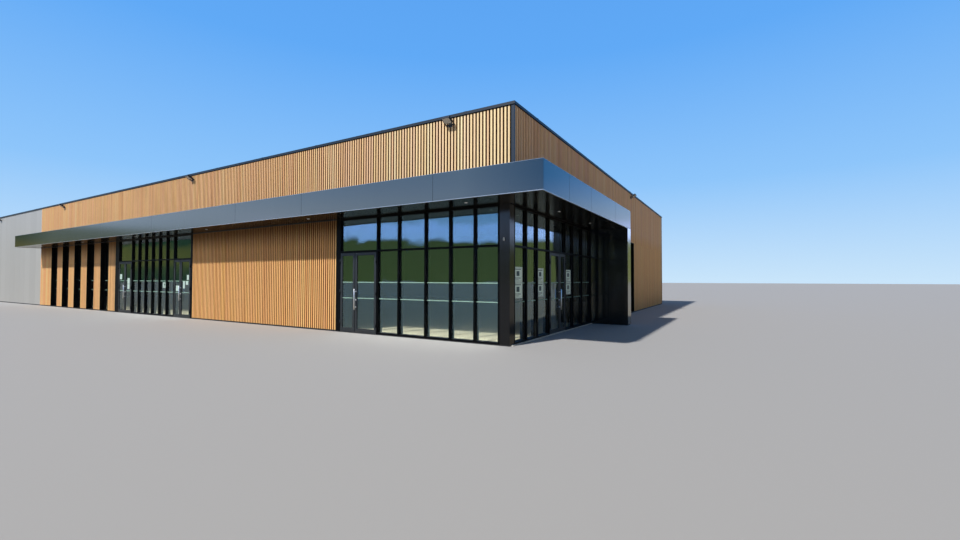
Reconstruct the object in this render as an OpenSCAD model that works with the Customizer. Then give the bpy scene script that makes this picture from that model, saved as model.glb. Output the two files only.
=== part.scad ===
// Supermarket building, single storey, at half the real size.
// Millimetres. The layout is measured from the building's front right corner,
// where the outer faces of the front and side cladding meet: X runs to the
// right along the front, Y runs back along the side and Z runs up from the
// ground. Every piece is then shifted so that the origin is the centre of the
// whole building's footprint, at ground level.
// A screen is a glazed part of a face, and is drawn in the face's own axes:
// along the face, inwards from its outer plane, and up.

/* [Building] */
// Length of the grey sheet cladding to the left of the slatted front
grey_length = 7200; // [3000:50:9000]
// Depth from the front cladding's face to the back cladding's face
building_depth = 11900; // [9500:50:14000]
// Height of the walls under the coping
wall_height = 3076; // [2960:2:3300]
// Height of the coping's outer face
coping_h = 42; // [24:1:70]
// Height that the coping's top falls from its outer to its inner edge
coping_fall = 8; // [2:1:14]
// Reach of the coping past the cladding and past the wall's inner face
coping_over = 15; // [5:1:30]

/* [Walls and roof] */
// Thickness of the walls behind the cladding
wall_t = 115; // [112:1:160]
// Depth of the cladding in front of the walls
clad_t = 40; // [30:1:42]
// Height of the floor above the ground
floor_h = 12; // [6:1:20]
// Depth of the roof's upper face below the top of the walls
roof_drop = 176; // [120:1:400]
// Thickness of the roof deck
roof_t = 125; // [80:1:160]
// Height of the dark flashing at the foot of the cladding
base_h = 25; // [21:1:40]
// Set-back of the grey sheets behind the slats' face
grey_setback = 8; // [2:1:16]
// Width of the corner trims' wide leg, on the face to the corner's left
trim_w = 44; // [44:1:80]
// Width of the corner trims' narrow leg, on the face to the corner's right
trim_side_w = 20; // [14:1:40]
// Thickness that the corner trims stand in front of the cladding
trim_out = 2; // [1:0.5:4]
// Set-back of the base flashing behind the slats' face
base_setback = 4; // [1:1:12]

/* [Front layout] */
// Height of the canopy's soffit, where doors, screens and windows end
soffit_z = 1820; // [1700:5:1900]
// Width of the corner post on the front
corner_post_w = 145; // [100:1:200]
// Depth of the corner post on the side
corner_post_d = 131; // [118:1:180]
// Clear widths of the lights beside the front door, left to right
corner_front_lights = [392, 470, 398, 368, 341]; // [250:1:600]
// Clear width of the front door
front_door_w = 786; // [700:1:900]
// Width of the jamb to the left of the front door
front_jamb_w = 93; // [60:1:180]
// Width of the slatted wall between the two screens
centre_wall_w = 4430; // [3000:10:6000]
// Width of the jamb to the right of the middle door
middle_jamb_w = 75; // [40:1:140]
// Clear width of the middle door
middle_door_w = 691; // [640:1:900]
// Clear width of each light in the middle screen
middle_light_w = 312; // [220:1:450]
// Number of lights in the middle screen
middle_lights = 6; // [3:1:8]
// Clear width of the left door
left_door_w = 697; // [660:1:900]
// Width of the jamb to the left of the left door
left_jamb_w = 200; // [60:1:260]
// Width of the pier between the left door and the first window
first_pier_w = 440; // [200:1:700]
// Width of each tall window
window_w = 475; // [300:1:600]
// Width of the piers between the windows
window_pier_w = 415; // [200:1:600]
// Number of tall windows on the front
window_count = 5; // [2:1:6]
// Width of the last pier at the left
end_pier_w = 951; // [400:1:1200]

/* [Side layout] */
// Set-back of the side screen behind the side cladding's face
side_setback = 65; // [58:1:90]
// Clear widths of the lights between the corner and the side door
corner_side_lights = [353, 343, 423]; // [250:1:600]
// Clear width of the side door
side_door_w = 691; // [640:1:900]
// Clear widths of the lights between the side door and the return wall
return_side_lights = [360, 473, 495]; // [250:1:600]
// Distance from the return wall to the side window
side_window_gap = 2955; // [1000:5:3500]

/* [Canopy] */
// Reach of the canopy in front of the front
canopy_front = 590; // [450:5:800]
// Reach of the canopy in front of the side
canopy_side = 635; // [450:5:800]
// Height of the fascia's top edge
canopy_top_z = 2158; // [2050:1:2400]
// Thickness of the fascia and return wall panels
panel_t = 12; // [6:1:20]
// Thickness of the soffit sheet
soffit_t = 10; // [5:1:20]
// Thickness of the canopy's roof sheet
canopy_sheet_t = 6; // [3:1:10]
// Height that the fascia stands above the canopy's roof sheet
fascia_upstand = 6; // [2:1:20]
// Width of the open joints between panels
panel_joint = 2.5; // [1:0.5:5]
// Distances of the front fascia's joints from the building's corner
front_joints = [840, 3340, 5090, 8100, 10600, 13100, 15600]; // [400:10:16000]
// Distances of the side fascia's joints from the building's corner
side_joints = [250, 1175, 2565]; // [100:5:3000]
// Thickness of the return wall at the canopy's far end
return_wall_t = 250; // [120:5:400]

/* [Glazing bars] */
// Width of a bar's face
bar_w = 27; // [25:1:40]
// Depth of a bar from its face inwards
bar_d = 110; // [80:1:112]
// Depth of the cap in front of the glass
cap_d = 30; // [10:1:40]
// Thickness of the glass
pane_t = 12; // [8:1:20]
// Depth of the groove that holds the glass
groove = 9; // [6:1:10]
// Depth that the glass reaches into the groove
bite = 7; // [3:0.5:8]
// Height of the middle of the transom
transom_z = 1286; // [1270:1:1400]
// Height of the transom's face
transom_h = 24; // [22:1:40]
// Height of the sill bar
sill_h = 23; // [20:1:40]
// Depth of the window reveals in front of their frames
reveal_d = 85; // [40:1:90]
// Thickness of the window reveals' lining
lining_t = 10; // [5:1:14]
// Depth of the window frames
window_frame_d = 55; // [40:1:60]

/* [Doors] */
// Height of the underside of the door heads
door_head_z = 1270; // [1000:1:1272]
// Height of the door head's face
door_head_h = 28; // [24:1:90]
// Thickness of the door leaves
leaf_t = 26; // [18:1:30]
// Thickness of the leaves' glass
leaf_pane_t = 8; // [4:1:10]
// Width of the leaves' stiles and top rail
stile_w = 42; // [36:1:60]
// Height of the leaves' bottom rail
bottom_rail_h = 55; // [40:1:90]
// Gap between a leaf and its frame
leaf_gap = 6; // [5.5:0.5:8]
// Gap between the two leaves of a door
meeting_gap = 10; // [9.5:0.5:14]
// Width of the front door's left leaf
front_left_leaf_w = 318; // [240:1:440]
// Width of the middle door's left leaf
middle_left_leaf_w = 268; // [240:1:400]
// Width of the left door's left leaf
left_left_leaf_w = 337; // [240:1:400]
// Width of the side door's left leaf
side_left_leaf_w = 410; // [240:1:430]
// Radius of the hinge barrels
barrel_r = 6; // [4:0.5:8]
// Height of a hinge barrel
barrel_h = 80; // [50:1:100]
// Width of a hinge's plates
hinge_plate_w = 15; // [10:1:18]
// Thickness of a hinge's plates
hinge_plate_t = 3; // [2:0.5:4]
// Heights of the hinges' middles
hinge_z = [150, 640, 1130]; // [80:10:1160]
// Radius of the pull handles
handle_r = 8; // [5:0.5:12]
// Length of the pull handles
handle_len = 325; // [200:5:600]
// Height of the pull handles' lower end
handle_z = 370; // [200:5:500]
// Distance of a handle's middle from the leaf
handle_out = 38; // [20:1:40]

/* [Lights] */
// Distances of the front floodlights from the building's corner
front_floodlights = [980, 7690, 14900, 21000]; // [500:10:23000]
// Distance of the side floodlight from the building's corner
side_floodlight = 6800; // [4200:10:9000]
// Depth of the floodlights' wall plates below the coping
floodlight_drop = 100; // [80:1:140]
// Height of a floodlight's pins above its wall plate
floodlight_rise = 56; // [20:1:70]
// Width, depth and height of a floodlight's head
floodlight_head = [125, 40, 104]; // [30:1:200]
// Width of a floodlight's wall plate
floodlight_plate = 60; // [40:1:75]
// Thickness of a floodlight's wall plate and yoke
floodlight_arm_t = 5; // [3:0.5:8]
// Width of a floodlight's yoke
floodlight_arm_w = 24; // [16:1:30]
// Gap between a floodlight's head and its yoke
floodlight_gap = 4; // [2:0.5:8]
// Radius of the pins that a floodlight's head hangs on
floodlight_pin_r = 6; // [3:0.5:7]
// Distance of a floodlight's pins from its wall plate's back
floodlight_reach = 96; // [88:1:140]
// Tilt of a floodlight's head
floodlight_tilt = 60; // [20:5:70]
// Number of fins on a floodlight's back
floodlight_fins = 8; // [4:1:10]
// Thickness of the fins
floodlight_fin_t = 4; // [3:0.5:6]
// Depth of the fins
floodlight_fin_d = 14; // [8:1:20]
// Width of the rim round a floodlight's glass
floodlight_rim = 7; // [5:1:14]
// Depth of a floodlight's glass behind its rim
floodlight_recess = 4; // [2:0.5:6]
// Radius of the downlights
downlight_r = 20; // [12:1:60]
// Depth of the downlights under the soffit
downlight_t = 4; // [2:0.5:8]
// Distance of the first front downlight from the building's corner
downlight_start = 535; // [300:5:800]
// Distance between the front downlights
downlight_pitch = 3010; // [1500:10:4000]
// Number of downlights along the front
downlight_count = 6; // [2:1:6]
// Distances of the side downlights from the building's corner
side_downlights = [975, 2465]; // [200:5:3000]
// Distance of the side downlights in front of the side
side_downlight_x = 230; // [100:5:400]

/* [Hidden] */

// Gap left between like pieces that stand end to end
seam = 0.5;
// Gap left between a piece and the seat that holds it
fit = 0.3;
// Extra length of a cutting shape past what it cuts
cut = 1;
// Facets of round pieces
round_fn = 48;

// Colours
slat_colour = "#c99b6c";
grey_colour = "#b4b6b7";
dark_colour = "#3b444c";
frame_colour = "#1c1f22";
wall_colour = "#d8d6d0";
glass_colour = [0.55, 0.66, 0.68, 0.45];

// Sum of the first n values of a list
function total(list, n) = n == 0 ? 0 : list[n - 1] + total(list, n - 1);
// Widths of n like bays
function same(w, n) = [for (i = [1 : n]) w];
// Length of a run of bays with a bar between each two
function run_length(bays) =
    total(bays, len(bays)) + (len(bays) - 1) * bar_w;

// Bays of the three screens, left to right: each door, then its lights
corner_front_bays = concat([front_door_w], corner_front_lights);
middle_bays = concat([left_door_w], same(middle_light_w, middle_lights),
                     [middle_door_w]);
corner_side_bays = concat(corner_side_lights, [side_door_w],
                          return_side_lights);
side_door_bay = len(corner_side_lights);
middle_door_bay = len(middle_bays) - 1;

// Places along the front, from the corner to the left
post_right = -side_setback;
post_left = post_right - corner_post_w;
corner_screen_right = post_left;
corner_screen_left = corner_screen_right - bar_w
    - run_length(corner_front_bays) - front_jamb_w;
centre_wall_left = corner_screen_left - centre_wall_w;
middle_screen_left = centre_wall_left - middle_jamb_w
    - run_length(middle_bays) - left_jamb_w;
first_window_right = middle_screen_left - first_pier_w;
function window_left(i) =
    first_window_right - window_w - i * (window_w + window_pier_w);
last_window_left = window_left(window_count - 1);
wood_left = last_window_left - end_pier_w;
left_face = wood_left - grey_length;

// Places along the side, from the corner to the back
side_screen_front = corner_post_d;
return_front = side_screen_front + run_length(corner_side_bays) + 2 * bar_w;
return_back = return_front + return_wall_t;
side_window_front = return_back + side_window_gap;
side_window_back = side_window_front + window_w;

// Faces of the walls
wall_out = clad_t;
wall_in = clad_t + wall_t;
left_out = left_face + clad_t;
left_in = left_out + wall_t;
back_out = building_depth - clad_t;
back_in = back_out - wall_t;
roof_z = wall_height - roof_drop;

// Shift that brings the middle of the whole footprint to the origin
centre_x = (canopy_side + left_face - coping_over) / 2;
centre_y = (building_depth + coping_over - canopy_front) / 2;
module placed() translate([-centre_x, -centre_y, 0]) children();
module on_front() placed() children();
module on_side()
    placed() translate([-side_setback, 0, 0]) rotate([0, 0, 90]) children();

// Box between two corners
module block(low, high) translate(low) cube(high - low);

// Left edges of a screen's bays, counted from its first bay's left edge
function bay_left(bays, i) = total(bays, i) + i * bar_w;

// Groove for glass in a bar, from the bar's face inwards
groove_w = pane_t + 2 * fit;

// Upright bar. A groove starts at the height given for its side, or is left
// out where the height is negative
module upright(left, w, left_from, right_from) {
    difference() {
        block([left, 0, floor_h], [left + w, bar_d, soffit_z]);
        if (left_from >= 0)
            block([left - cut, cap_d, left_from],
                  [left + groove, cap_d + groove_w, soffit_z + cut]);
        if (right_from >= 0)
            block([left + w - groove, cap_d, right_from],
                  [left + w + cut, cap_d + groove_w, soffit_z + cut]);
    }
}

// Level bar between two uprights, with a groove below or above it
module level_bar(left, right, bottom, top, below, above) {
    difference() {
        block([left + fit, 0, bottom], [right - fit, bar_d, top]);
        if (below)
            block([left - cut, cap_d, bottom - cut],
                  [right + cut, cap_d + groove_w, bottom + groove]);
        if (above)
            block([left - cut, cap_d, top - groove],
                  [right + cut, cap_d + groove_w, top + cut]);
    }
}

// Pane between the faces of its four bars
module pane(left, right, bottom, top) {
    block([left - bite, cap_d + fit, bottom - bite],
          [right + bite, cap_d + fit + pane_t, top + bite]);
}

door_head_top = door_head_z + door_head_h;
transom_bottom = transom_z - transom_h / 2;
transom_top = transom_z + transom_h / 2;
sill_top = floor_h + sill_h;
head_bottom = soffit_z - bar_w;

// Whether a bay is a door: its place in the list is among the doors' places
function is_door(i, doors) = len(search(i, doors)) > 0;
// Height from which a bay's side grooves start
function groove_from(i, doors) =
    is_door(i, doors) ? door_head_top - groove : floor_h;

// Frame of a screen: its left jamb, bars, right jamb, sills, heads, transoms
// and door heads. start is the left edge of the first bay
module screen_frame(start, bays, doors, left_w, right_w) {
    last = len(bays) - 1;
    upright(start - left_w, left_w, -1, groove_from(0, doors));
    for (i = [0 : last - 1])
        upright(start + bay_left(bays, i) + bays[i], bar_w,
                groove_from(i, doors), groove_from(i + 1, doors));
    upright(start + bay_left(bays, last) + bays[last], right_w,
            groove_from(last, doors), -1);
    for (i = [0 : last]) {
        left = start + bay_left(bays, i);
        right = left + bays[i];
        level_bar(left, right, head_bottom, soffit_z, true, false);
        if (is_door(i, doors)) {
            level_bar(left, right, door_head_z, door_head_top, false, true);
            frame_hinges(left, right);
        } else {
            level_bar(left, right, floor_h, sill_top, false, true);
            level_bar(left, right, transom_bottom, transom_top, true, true);
        }
    }
}

// Glass of a screen, apart from its door leaves
module screen_glass(start, bays, doors) {
    for (i = [0 : len(bays) - 1]) {
        left = start + bay_left(bays, i);
        right = left + bays[i];
        if (is_door(i, doors)) {
            pane(left, right, door_head_top, head_bottom);
        } else {
            pane(left, right, sill_top, transom_bottom);
            pane(left, right, transom_top, head_bottom);
        }
    }
}

// Door leaves. Each stands flush with its screen's face and turns outwards
leaf_bottom = floor_h + leaf_gap;
leaf_top = door_head_z - leaf_gap;
leaf_groove_w = leaf_pane_t + 2 * fit;
leaf_groove_d = (leaf_t - leaf_groove_w) / 2;
barrel_out = fit + barrel_r;

module leaf_stile(left, groove_left, groove_right) {
    difference() {
        block([left, 0, leaf_bottom], [left + stile_w, leaf_t, leaf_top]);
        block([groove_left, leaf_groove_d, leaf_bottom - cut],
              [groove_right, leaf_groove_d + leaf_groove_w, leaf_top + cut]);
    }
}

module leaf_rail(left, right, bottom, top, groove_bottom, groove_top) {
    difference() {
        block([left, 0, bottom], [right, leaf_t, top]);
        block([left - cut, leaf_groove_d, groove_bottom],
              [right + cut, leaf_groove_d + leaf_groove_w, groove_top]);
    }
}

module leaf_frame(left, w) {
    right = left + w;
    inner_left = left + stile_w;
    inner_right = right - stile_w;
    rail_top = leaf_bottom + bottom_rail_h;
    head_rail_bottom = leaf_top - stile_w;
    leaf_stile(left, inner_left - groove, inner_left + cut);
    leaf_stile(inner_right, inner_right - cut, inner_right + groove);
    leaf_rail(inner_left + fit, inner_right - fit, leaf_bottom, rail_top,
              rail_top - groove, rail_top + cut);
    leaf_rail(inner_left + fit, inner_right - fit, head_rail_bottom, leaf_top,
              head_rail_bottom - cut, head_rail_bottom + groove);
}

module leaf_glass(left, w) {
    block([left + stile_w - bite, leaf_groove_d + fit,
           leaf_bottom + bottom_rail_h - bite],
          [left + w - stile_w + bite, leaf_groove_d + fit + leaf_pane_t,
           leaf_top - stile_w + bite]);
}

// One half of a hinge: half the barrel and one plate, on the side given
module hinge_half(axis, side, bottom) {
    plate_end = axis + side * (leaf_gap / 2 + hinge_plate_w);
    translate([axis, -barrel_out, bottom])
        cylinder(r = barrel_r, h = (barrel_h - fit) / 2, $fn = round_fn);
    block([min(axis, plate_end), -fit - hinge_plate_t, bottom],
          [max(axis, plate_end), -fit, bottom + (barrel_h - fit) / 2]);
}

// Lower hinge halves at both sides of a door, which stay on the frame. The
// upper halves turn with the leaves
module frame_hinges(left, right) {
    for (z = hinge_z) {
        hinge_half(left + leaf_gap / 2, -1, z - barrel_h / 2);
        hinge_half(right - leaf_gap / 2, 1, z - barrel_h / 2);
    }
}

// Left leaf of a door: its left edge and width in the screen's axes
module left_leaf_frame(left, w) {
    leaf_frame(left + leaf_gap, w);
    for (z = hinge_z)
        hinge_half(left + leaf_gap / 2, 1, z + fit / 2);
}

function right_leaf_w(door_w, left_w) =
    door_w - 2 * leaf_gap - meeting_gap - left_w;

module right_leaf_frame(left, door_w, left_w) {
    w = right_leaf_w(door_w, left_w);
    leaf_frame(left + door_w - leaf_gap - w, w);
    for (z = hinge_z)
        hinge_half(left + door_w - leaf_gap / 2, -1, z + fit / 2);
}

module left_leaf_glass(left, w) leaf_glass(left + leaf_gap, w);

module right_leaf_glass(left, door_w, left_w) {
    w = right_leaf_w(door_w, left_w);
    leaf_glass(left + door_w - leaf_gap - w, w);
}

// Pull handle: a round bar on two posts that stand on the leaf
module handle(along) {
    post_end = handle_len / 8;
    translate([along, -handle_out, handle_z])
        cylinder(r = handle_r, h = handle_len, $fn = round_fn);
    for (z = [handle_z + post_end, handle_z + handle_len - post_end])
        translate([along, -fit, z]) rotate([90, 0, 0])
            cylinder(r = handle_r / 2, h = handle_out - fit, $fn = round_fn);
}

// Places of the doors along their screens
front_door_left = corner_screen_left + front_jamb_w;
left_door_left = middle_screen_left + left_jamb_w;
middle_door_left = left_door_left + bay_left(middle_bays, middle_door_bay);
side_door_left = side_screen_front + bar_w
    + bay_left(corner_side_bays, side_door_bay);
function right_handle(left, left_w) =
    left + leaf_gap + left_w + meeting_gap + stile_w / 2;
function left_handle(left, left_w) = left + leaf_gap + left_w - stile_w / 2;

// Tall windows: a lining that runs through the wall, with the frame in it
module window_frame(left) {
    right = left + window_w;
    frame_in = reveal_d + window_frame_d;
    lining_in = reveal_d - fit;
    groove_d = reveal_d + (window_frame_d - groove_w) / 2;
    for (side = [0, 1]) {
        lining_left = side == 0 ? left : right - lining_t;
        frame_left = side == 0 ? left : right - bar_w;
        groove_left = side == 0 ? left + bar_w - groove : right - bar_w - cut;
        difference() {
            union() {
                block([lining_left, 0, floor_h],
                      [lining_left + lining_t, wall_in, soffit_z]);
                block([frame_left, reveal_d, floor_h],
                      [frame_left + bar_w, frame_in, soffit_z]);
            }
            block([groove_left, groove_d, floor_h - cut],
                  [groove_left + groove + cut, groove_d + groove_w,
                   soffit_z + cut]);
        }
    }
    for (side = [0, 1]) {
        low = side == 0 ? floor_h : soffit_z - bar_w;
        lining_low = side == 0 ? floor_h : soffit_z - lining_t;
        groove_low = side == 0 ? floor_h + bar_w - groove : low - cut;
        difference() {
            union() {
                block([left + bar_w + fit, lining_in, low],
                      [right - bar_w - fit, frame_in, low + bar_w]);
                block([left + lining_t + fit, 0, lining_low],
                      [right - lining_t - fit, lining_in,
                       lining_low + lining_t]);
            }
            block([left, groove_d, groove_low],
                  [right, groove_d + groove_w, groove_low + groove + cut]);
        }
    }
}

module window_pane(left) {
    groove_d = reveal_d + (window_frame_d - groove_w) / 2;
    block([left + bar_w - bite, groove_d + fit, floor_h + bar_w - bite],
          [left + window_w - bar_w + bite, groove_d + fit + pane_t,
           soffit_z - bar_w + bite]);
}

// Floodlight's yoke on its wall plate: two arms that rise outwards, with a
// pin at the end of each
module floodlight_yoke() {
    plate = floodlight_plate / 2;
    arm_in = floodlight_head[0] / 2 + floodlight_gap;
    arm_out = arm_in + floodlight_arm_t;
    arm_h = floodlight_arm_w / 2;
    bridge = 2 * floodlight_arm_t;
    rise = floodlight_rise;
    reach = floodlight_reach;
    block([-plate, -floodlight_arm_t, -plate], [plate, 0, plate]);
    block([-arm_out, -bridge, -arm_h], [arm_out, -floodlight_arm_t, arm_h]);
    for (side = [-1, 1]) {
        arm_left = side > 0 ? arm_in : -arm_out;
        translate([arm_left, 0, 0]) rotate([90, 0, 90])
            linear_extrude(floodlight_arm_t)
                polygon([[-floodlight_arm_t, -arm_h],
                         [-floodlight_arm_t, arm_h], [-reach, rise + arm_h],
                         [-reach - arm_h, rise], [-reach, rise - arm_h]]);
        translate([side * arm_in, -reach, rise])
            rotate([0, -side * 90, 0])
                cylinder(r = floodlight_pin_r, h = floodlight_gap - fit,
                         $fn = round_fn);
    }
}

// Floodlight's head about its pins, with its glass recessed in front and
// cooling fins behind
module floodlight_body() {
    w = floodlight_head[0];
    half_d = floodlight_head[1] / 2;
    low = -floodlight_head[2] * 2 / 3;
    high = floodlight_head[2] / 3;
    pitch = (w - floodlight_fin_t) / (floodlight_fins - 1);
    rim = floodlight_rim;
    difference() {
        block([-w / 2, -half_d, low], [w / 2, half_d, high]);
        block([rim - w / 2, -half_d - cut, low + rim],
              [w / 2 - rim, floodlight_recess - half_d, high - rim]);
        for (i = [0 : floodlight_fins - 2])
            translate([floodlight_fin_t - w / 2 + i * pitch, 0, 0])
                block([0, half_d - floodlight_fin_d, low - cut],
                      [pitch - floodlight_fin_t, half_d + cut, high + cut]);
    }
}

// Floodlight in a face's axes. depth is the depth of the sheet or slats that
// its wall plate is fixed to
module floodlight(along, depth)
    translate([along, depth, wall_height - floodlight_drop]) {
        floodlight_yoke();
        translate([0, -floodlight_reach, floodlight_rise])
            rotate([floodlight_tilt, 0, 0]) floodlight_body();
    }

// Floor and roof
module floor_slab() color(wall_colour) placed()
    block([left_out, wall_out, 0], [-wall_out, back_out, floor_h]);

module roof_deck() color("#8b8f91") placed()
    block([left_in, wall_in, roof_z - roof_t], [-wall_in, back_in, roof_z]);

// Coping: four lengths of folded sheet, mitred at the corners. along is the
// length's outer edge, seen from outside with the wall below
module coping_length(along) {
    w = coping_over * 2 + wall_in;
    intersection() {
        translate([0, 0, wall_height]) rotate([90, 0, 90])
            linear_extrude(along)
                polygon([[0, 0], [w, 0], [w, coping_h - coping_fall],
                         [0, coping_h]]);
        translate([0, 0, wall_height])
            linear_extrude(coping_h)
                polygon([[seam, 0], [along - seam, 0],
                         [along - w - seam, w], [w + seam, w]]);
    }
}

module parapet_coping() {
    coping_x = 2 * coping_over - left_face;
    coping_y = building_depth + 2 * coping_over;
    color(dark_colour) placed() {
        translate([left_face - coping_over, -coping_over, 0])
            coping_length(coping_x);
        translate([coping_over, -coping_over, 0]) rotate([0, 0, 90])
            coping_length(coping_y);
        translate([coping_over, building_depth + coping_over, 0])
            rotate([0, 0, 180]) coping_length(coping_x);
        translate([left_face - coping_over, building_depth + coping_over, 0])
            rotate([0, 0, -90]) coping_length(coping_y);
    }
}

// Walls behind the cladding, split beside and over the openings
module front_wall_upper() color(wall_colour) placed()
    block([left_out, wall_out, soffit_z], [-wall_out, wall_in, wall_height]);

module front_wall_left() color(wall_colour) placed()
    block([left_out, wall_out, floor_h],
          [last_window_left, wall_in, soffit_z]);

module front_wall_centre() color(wall_colour) placed()
    block([centre_wall_left, wall_out, floor_h],
          [corner_screen_left, wall_in, soffit_z]);

module window_piers() color(wall_colour) placed() {
    block([first_window_right, wall_out, floor_h],
          [middle_screen_left, wall_in, soffit_z]);
    for (i = [0 : window_count - 2])
        block([window_left(i) - window_pier_w, wall_out, floor_h],
              [window_left(i), wall_in, soffit_z]);
}

module left_wall() color(wall_colour) placed()
    block([left_out, wall_in, floor_h], [left_in, back_in, wall_height]);

module back_wall() color(wall_colour) placed()
    block([left_out, back_in, floor_h], [-wall_out, back_out, wall_height]);

module right_wall_upper() color(wall_colour) placed()
    block([-wall_in, wall_in, soffit_z], [-wall_out, back_in, wall_height]);

module right_wall_rear() color(wall_colour) placed() {
    block([-wall_in, return_front + panel_t, floor_h],
          [-wall_out, side_window_front, soffit_z]);
    block([-wall_in, side_window_back, floor_h],
          [-wall_out, back_in, soffit_z]);
}

// Slatted cladding
module front_slats_upper() color(slat_colour) placed()
    block([wood_left, 0, canopy_top_z], [-trim_w, clad_t, wall_height]);

module front_slats_centre() color(slat_colour) placed()
    block([centre_wall_left, 0, base_h],
          [corner_screen_left, clad_t, soffit_z]);

module front_slats_piers() color(slat_colour) placed() {
    block([first_window_right, 0, base_h],
          [middle_screen_left, clad_t, soffit_z]);
    for (i = [0 : window_count - 2])
        block([window_left(i) - window_pier_w, 0, base_h],
              [window_left(i), clad_t, soffit_z]);
    block([wood_left, 0, base_h], [last_window_left, clad_t, soffit_z]);
}

module right_slats_upper() color(slat_colour) placed() {
    block([-clad_t, trim_side_w, canopy_top_z],
          [0, return_back - seam, wall_height]);
    block([-clad_t, return_back, soffit_z + seam],
          [0, building_depth - trim_w, wall_height]);
}

module right_slats_rear() color(slat_colour) placed() {
    block([-clad_t, return_back, base_h], [0, side_window_front, soffit_z]);
    block([-clad_t, side_window_back, base_h],
          [0, building_depth - trim_w, soffit_z]);
}

// Grey sheets on the rest of the front, the left end and the back
module grey_cladding() color(grey_colour) placed() {
    block([left_face + trim_side_w, grey_setback, base_h],
          [wood_left, clad_t, wall_height]);
    block([left_face + grey_setback, trim_w, base_h],
          [left_out, building_depth - trim_side_w, wall_height]);
    block([left_face + trim_w, back_out, base_h],
          [-trim_side_w, building_depth - grey_setback, wall_height]);
}

// Corner trim round a corner that points to +X and -Y, with its outer faces
// trim_out in front of the cladding
module corner_trim(bottom) {
    translate([0, 0, bottom]) linear_extrude(wall_height - bottom)
        polygon([[-trim_w, -trim_out], [trim_out, -trim_out],
                 [trim_out, trim_side_w], [-clad_t, trim_side_w],
                 [-clad_t, clad_t], [-trim_w, clad_t]]);
}

module corner_trims() color(dark_colour) placed() {
    corner_trim(canopy_top_z);
    translate([0, building_depth, 0]) rotate([0, 0, 90]) corner_trim(base_h);
    translate([left_face, building_depth, 0]) rotate([0, 0, 180])
        corner_trim(base_h);
    translate([left_face, 0, 0]) rotate([0, 0, -90]) corner_trim(base_h);
}

// Dark flashing under the cladding, and the nosing under the front screens
// and windows
module base_flashing() color(frame_colour) placed() {
    nosing = floor_h - fit;
    foot = base_setback;
    block([corner_screen_left + seam, 0, 0], [post_right, clad_t, nosing]);
    block([middle_screen_left + seam, 0, 0],
          [centre_wall_left - seam, clad_t, nosing]);
    for (i = [0 : window_count - 1])
        block([window_left(i) + seam, 0, 0],
              [window_left(i) + window_w - seam, clad_t, nosing]);
    block([centre_wall_left, foot, 0], [corner_screen_left, clad_t, base_h]);
    block([first_window_right, foot, 0], [middle_screen_left, clad_t, base_h]);
    for (i = [0 : window_count - 2])
        block([window_left(i) - window_pier_w, foot, 0],
              [window_left(i), clad_t, base_h]);
    block([left_face + foot, foot, 0], [last_window_left, clad_t, base_h]);
    block([left_face + foot, clad_t + seam, 0],
          [left_out, back_out - seam, base_h]);
    block([left_face + foot, back_out, 0],
          [-foot, building_depth - foot, base_h]);
    block([-clad_t, return_back, 0], [-foot, side_window_front, base_h]);
    block([-clad_t, side_window_front + seam, 0],
          [0, side_window_back - seam, nosing]);
    block([-clad_t, side_window_back, 0], [-foot, back_out - seam, base_h]);
}

// Canopy: a framed core along the front and round the corner, closed with
// fascia panels, a soffit sheet and a roof sheet
canopy_left = wood_left;
core_left = canopy_left + panel_t;
core_front = panel_t - canopy_front;
core_right = canopy_side - panel_t;
core_back = return_back - panel_t;
core_bottom = soffit_z + soffit_t;
sheet_top = canopy_top_z - fascia_upstand;
core_top = sheet_top - canopy_sheet_t;

module canopy_layer(bottom, top) {
    block([core_left, core_front, bottom], [core_right, wall_out, top]);
    block([-wall_out, wall_out + seam, bottom], [core_right, core_back, top]);
}

module canopy_core() color("#5c6166") placed()
    canopy_layer(core_bottom, core_top);

module canopy_soffit() color("#3f4347") placed()
    canopy_layer(soffit_z, core_bottom);

module canopy_roof_sheet() color("#7d8285") placed()
    canopy_layer(core_top, sheet_top);

// Fascia panels with open joints
module canopy_fascia() {
    front_edges = concat([-canopy_side], front_joints, [-canopy_left]);
    side_edges = concat([-core_front], [for (y = side_joints) -y],
                        [-return_back]);
    half = panel_joint / 2;
    color(dark_colour) placed() {
        for (i = [0 : len(front_edges) - 2]) {
            right_gap = i == 0 ? 0 : half;
            left_gap = i == len(front_edges) - 2 ? 0 : half;
            block([left_gap - front_edges[i + 1], -canopy_front, soffit_z],
                  [-front_edges[i] - right_gap, core_front, canopy_top_z]);
        }
        for (i = [0 : len(side_edges) - 2]) {
            back_gap = i == len(side_edges) - 2 ? 0 : half;
            block([core_right, half - side_edges[i], soffit_z],
                  [canopy_side, -side_edges[i + 1] - back_gap,
                   canopy_top_z]);
        }
        block([canopy_left, core_front + half, soffit_z],
              [core_left, wall_out, canopy_top_z]);
        block([-wall_out, core_back, soffit_z],
              [core_right - half, return_back, canopy_top_z]);
    }
}

// Return wall that carries the canopy's far end
module return_wall() color("#4a5056") placed()
    block([-wall_out, return_front + panel_t, 0],
          [core_right, core_back, soffit_z]);

module return_wall_panels() {
    half = panel_joint / 2;
    inner_middle = (core_right - wall_out) / 2;
    outer_middle = core_right / 2;
    top = soffit_z - panel_joint;
    color(dark_colour) placed() {
        block([-wall_in, return_front, floor_h],
              [inner_middle - half, return_front + panel_t, top]);
        block([inner_middle + half, return_front, floor_h],
              [core_right - half, return_front + panel_t, top]);
        block([-wall_out, core_back, floor_h],
              [outer_middle - half, return_back, top]);
        block([outer_middle + half, core_back, floor_h],
              [core_right - half, return_back, top]);
        block([core_right, return_front, floor_h],
              [canopy_side, return_back, top]);
    }
}

module corner_post() color(frame_colour) placed()
    block([post_left, 0, floor_h], [post_right, corner_post_d, soffit_z]);

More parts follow.
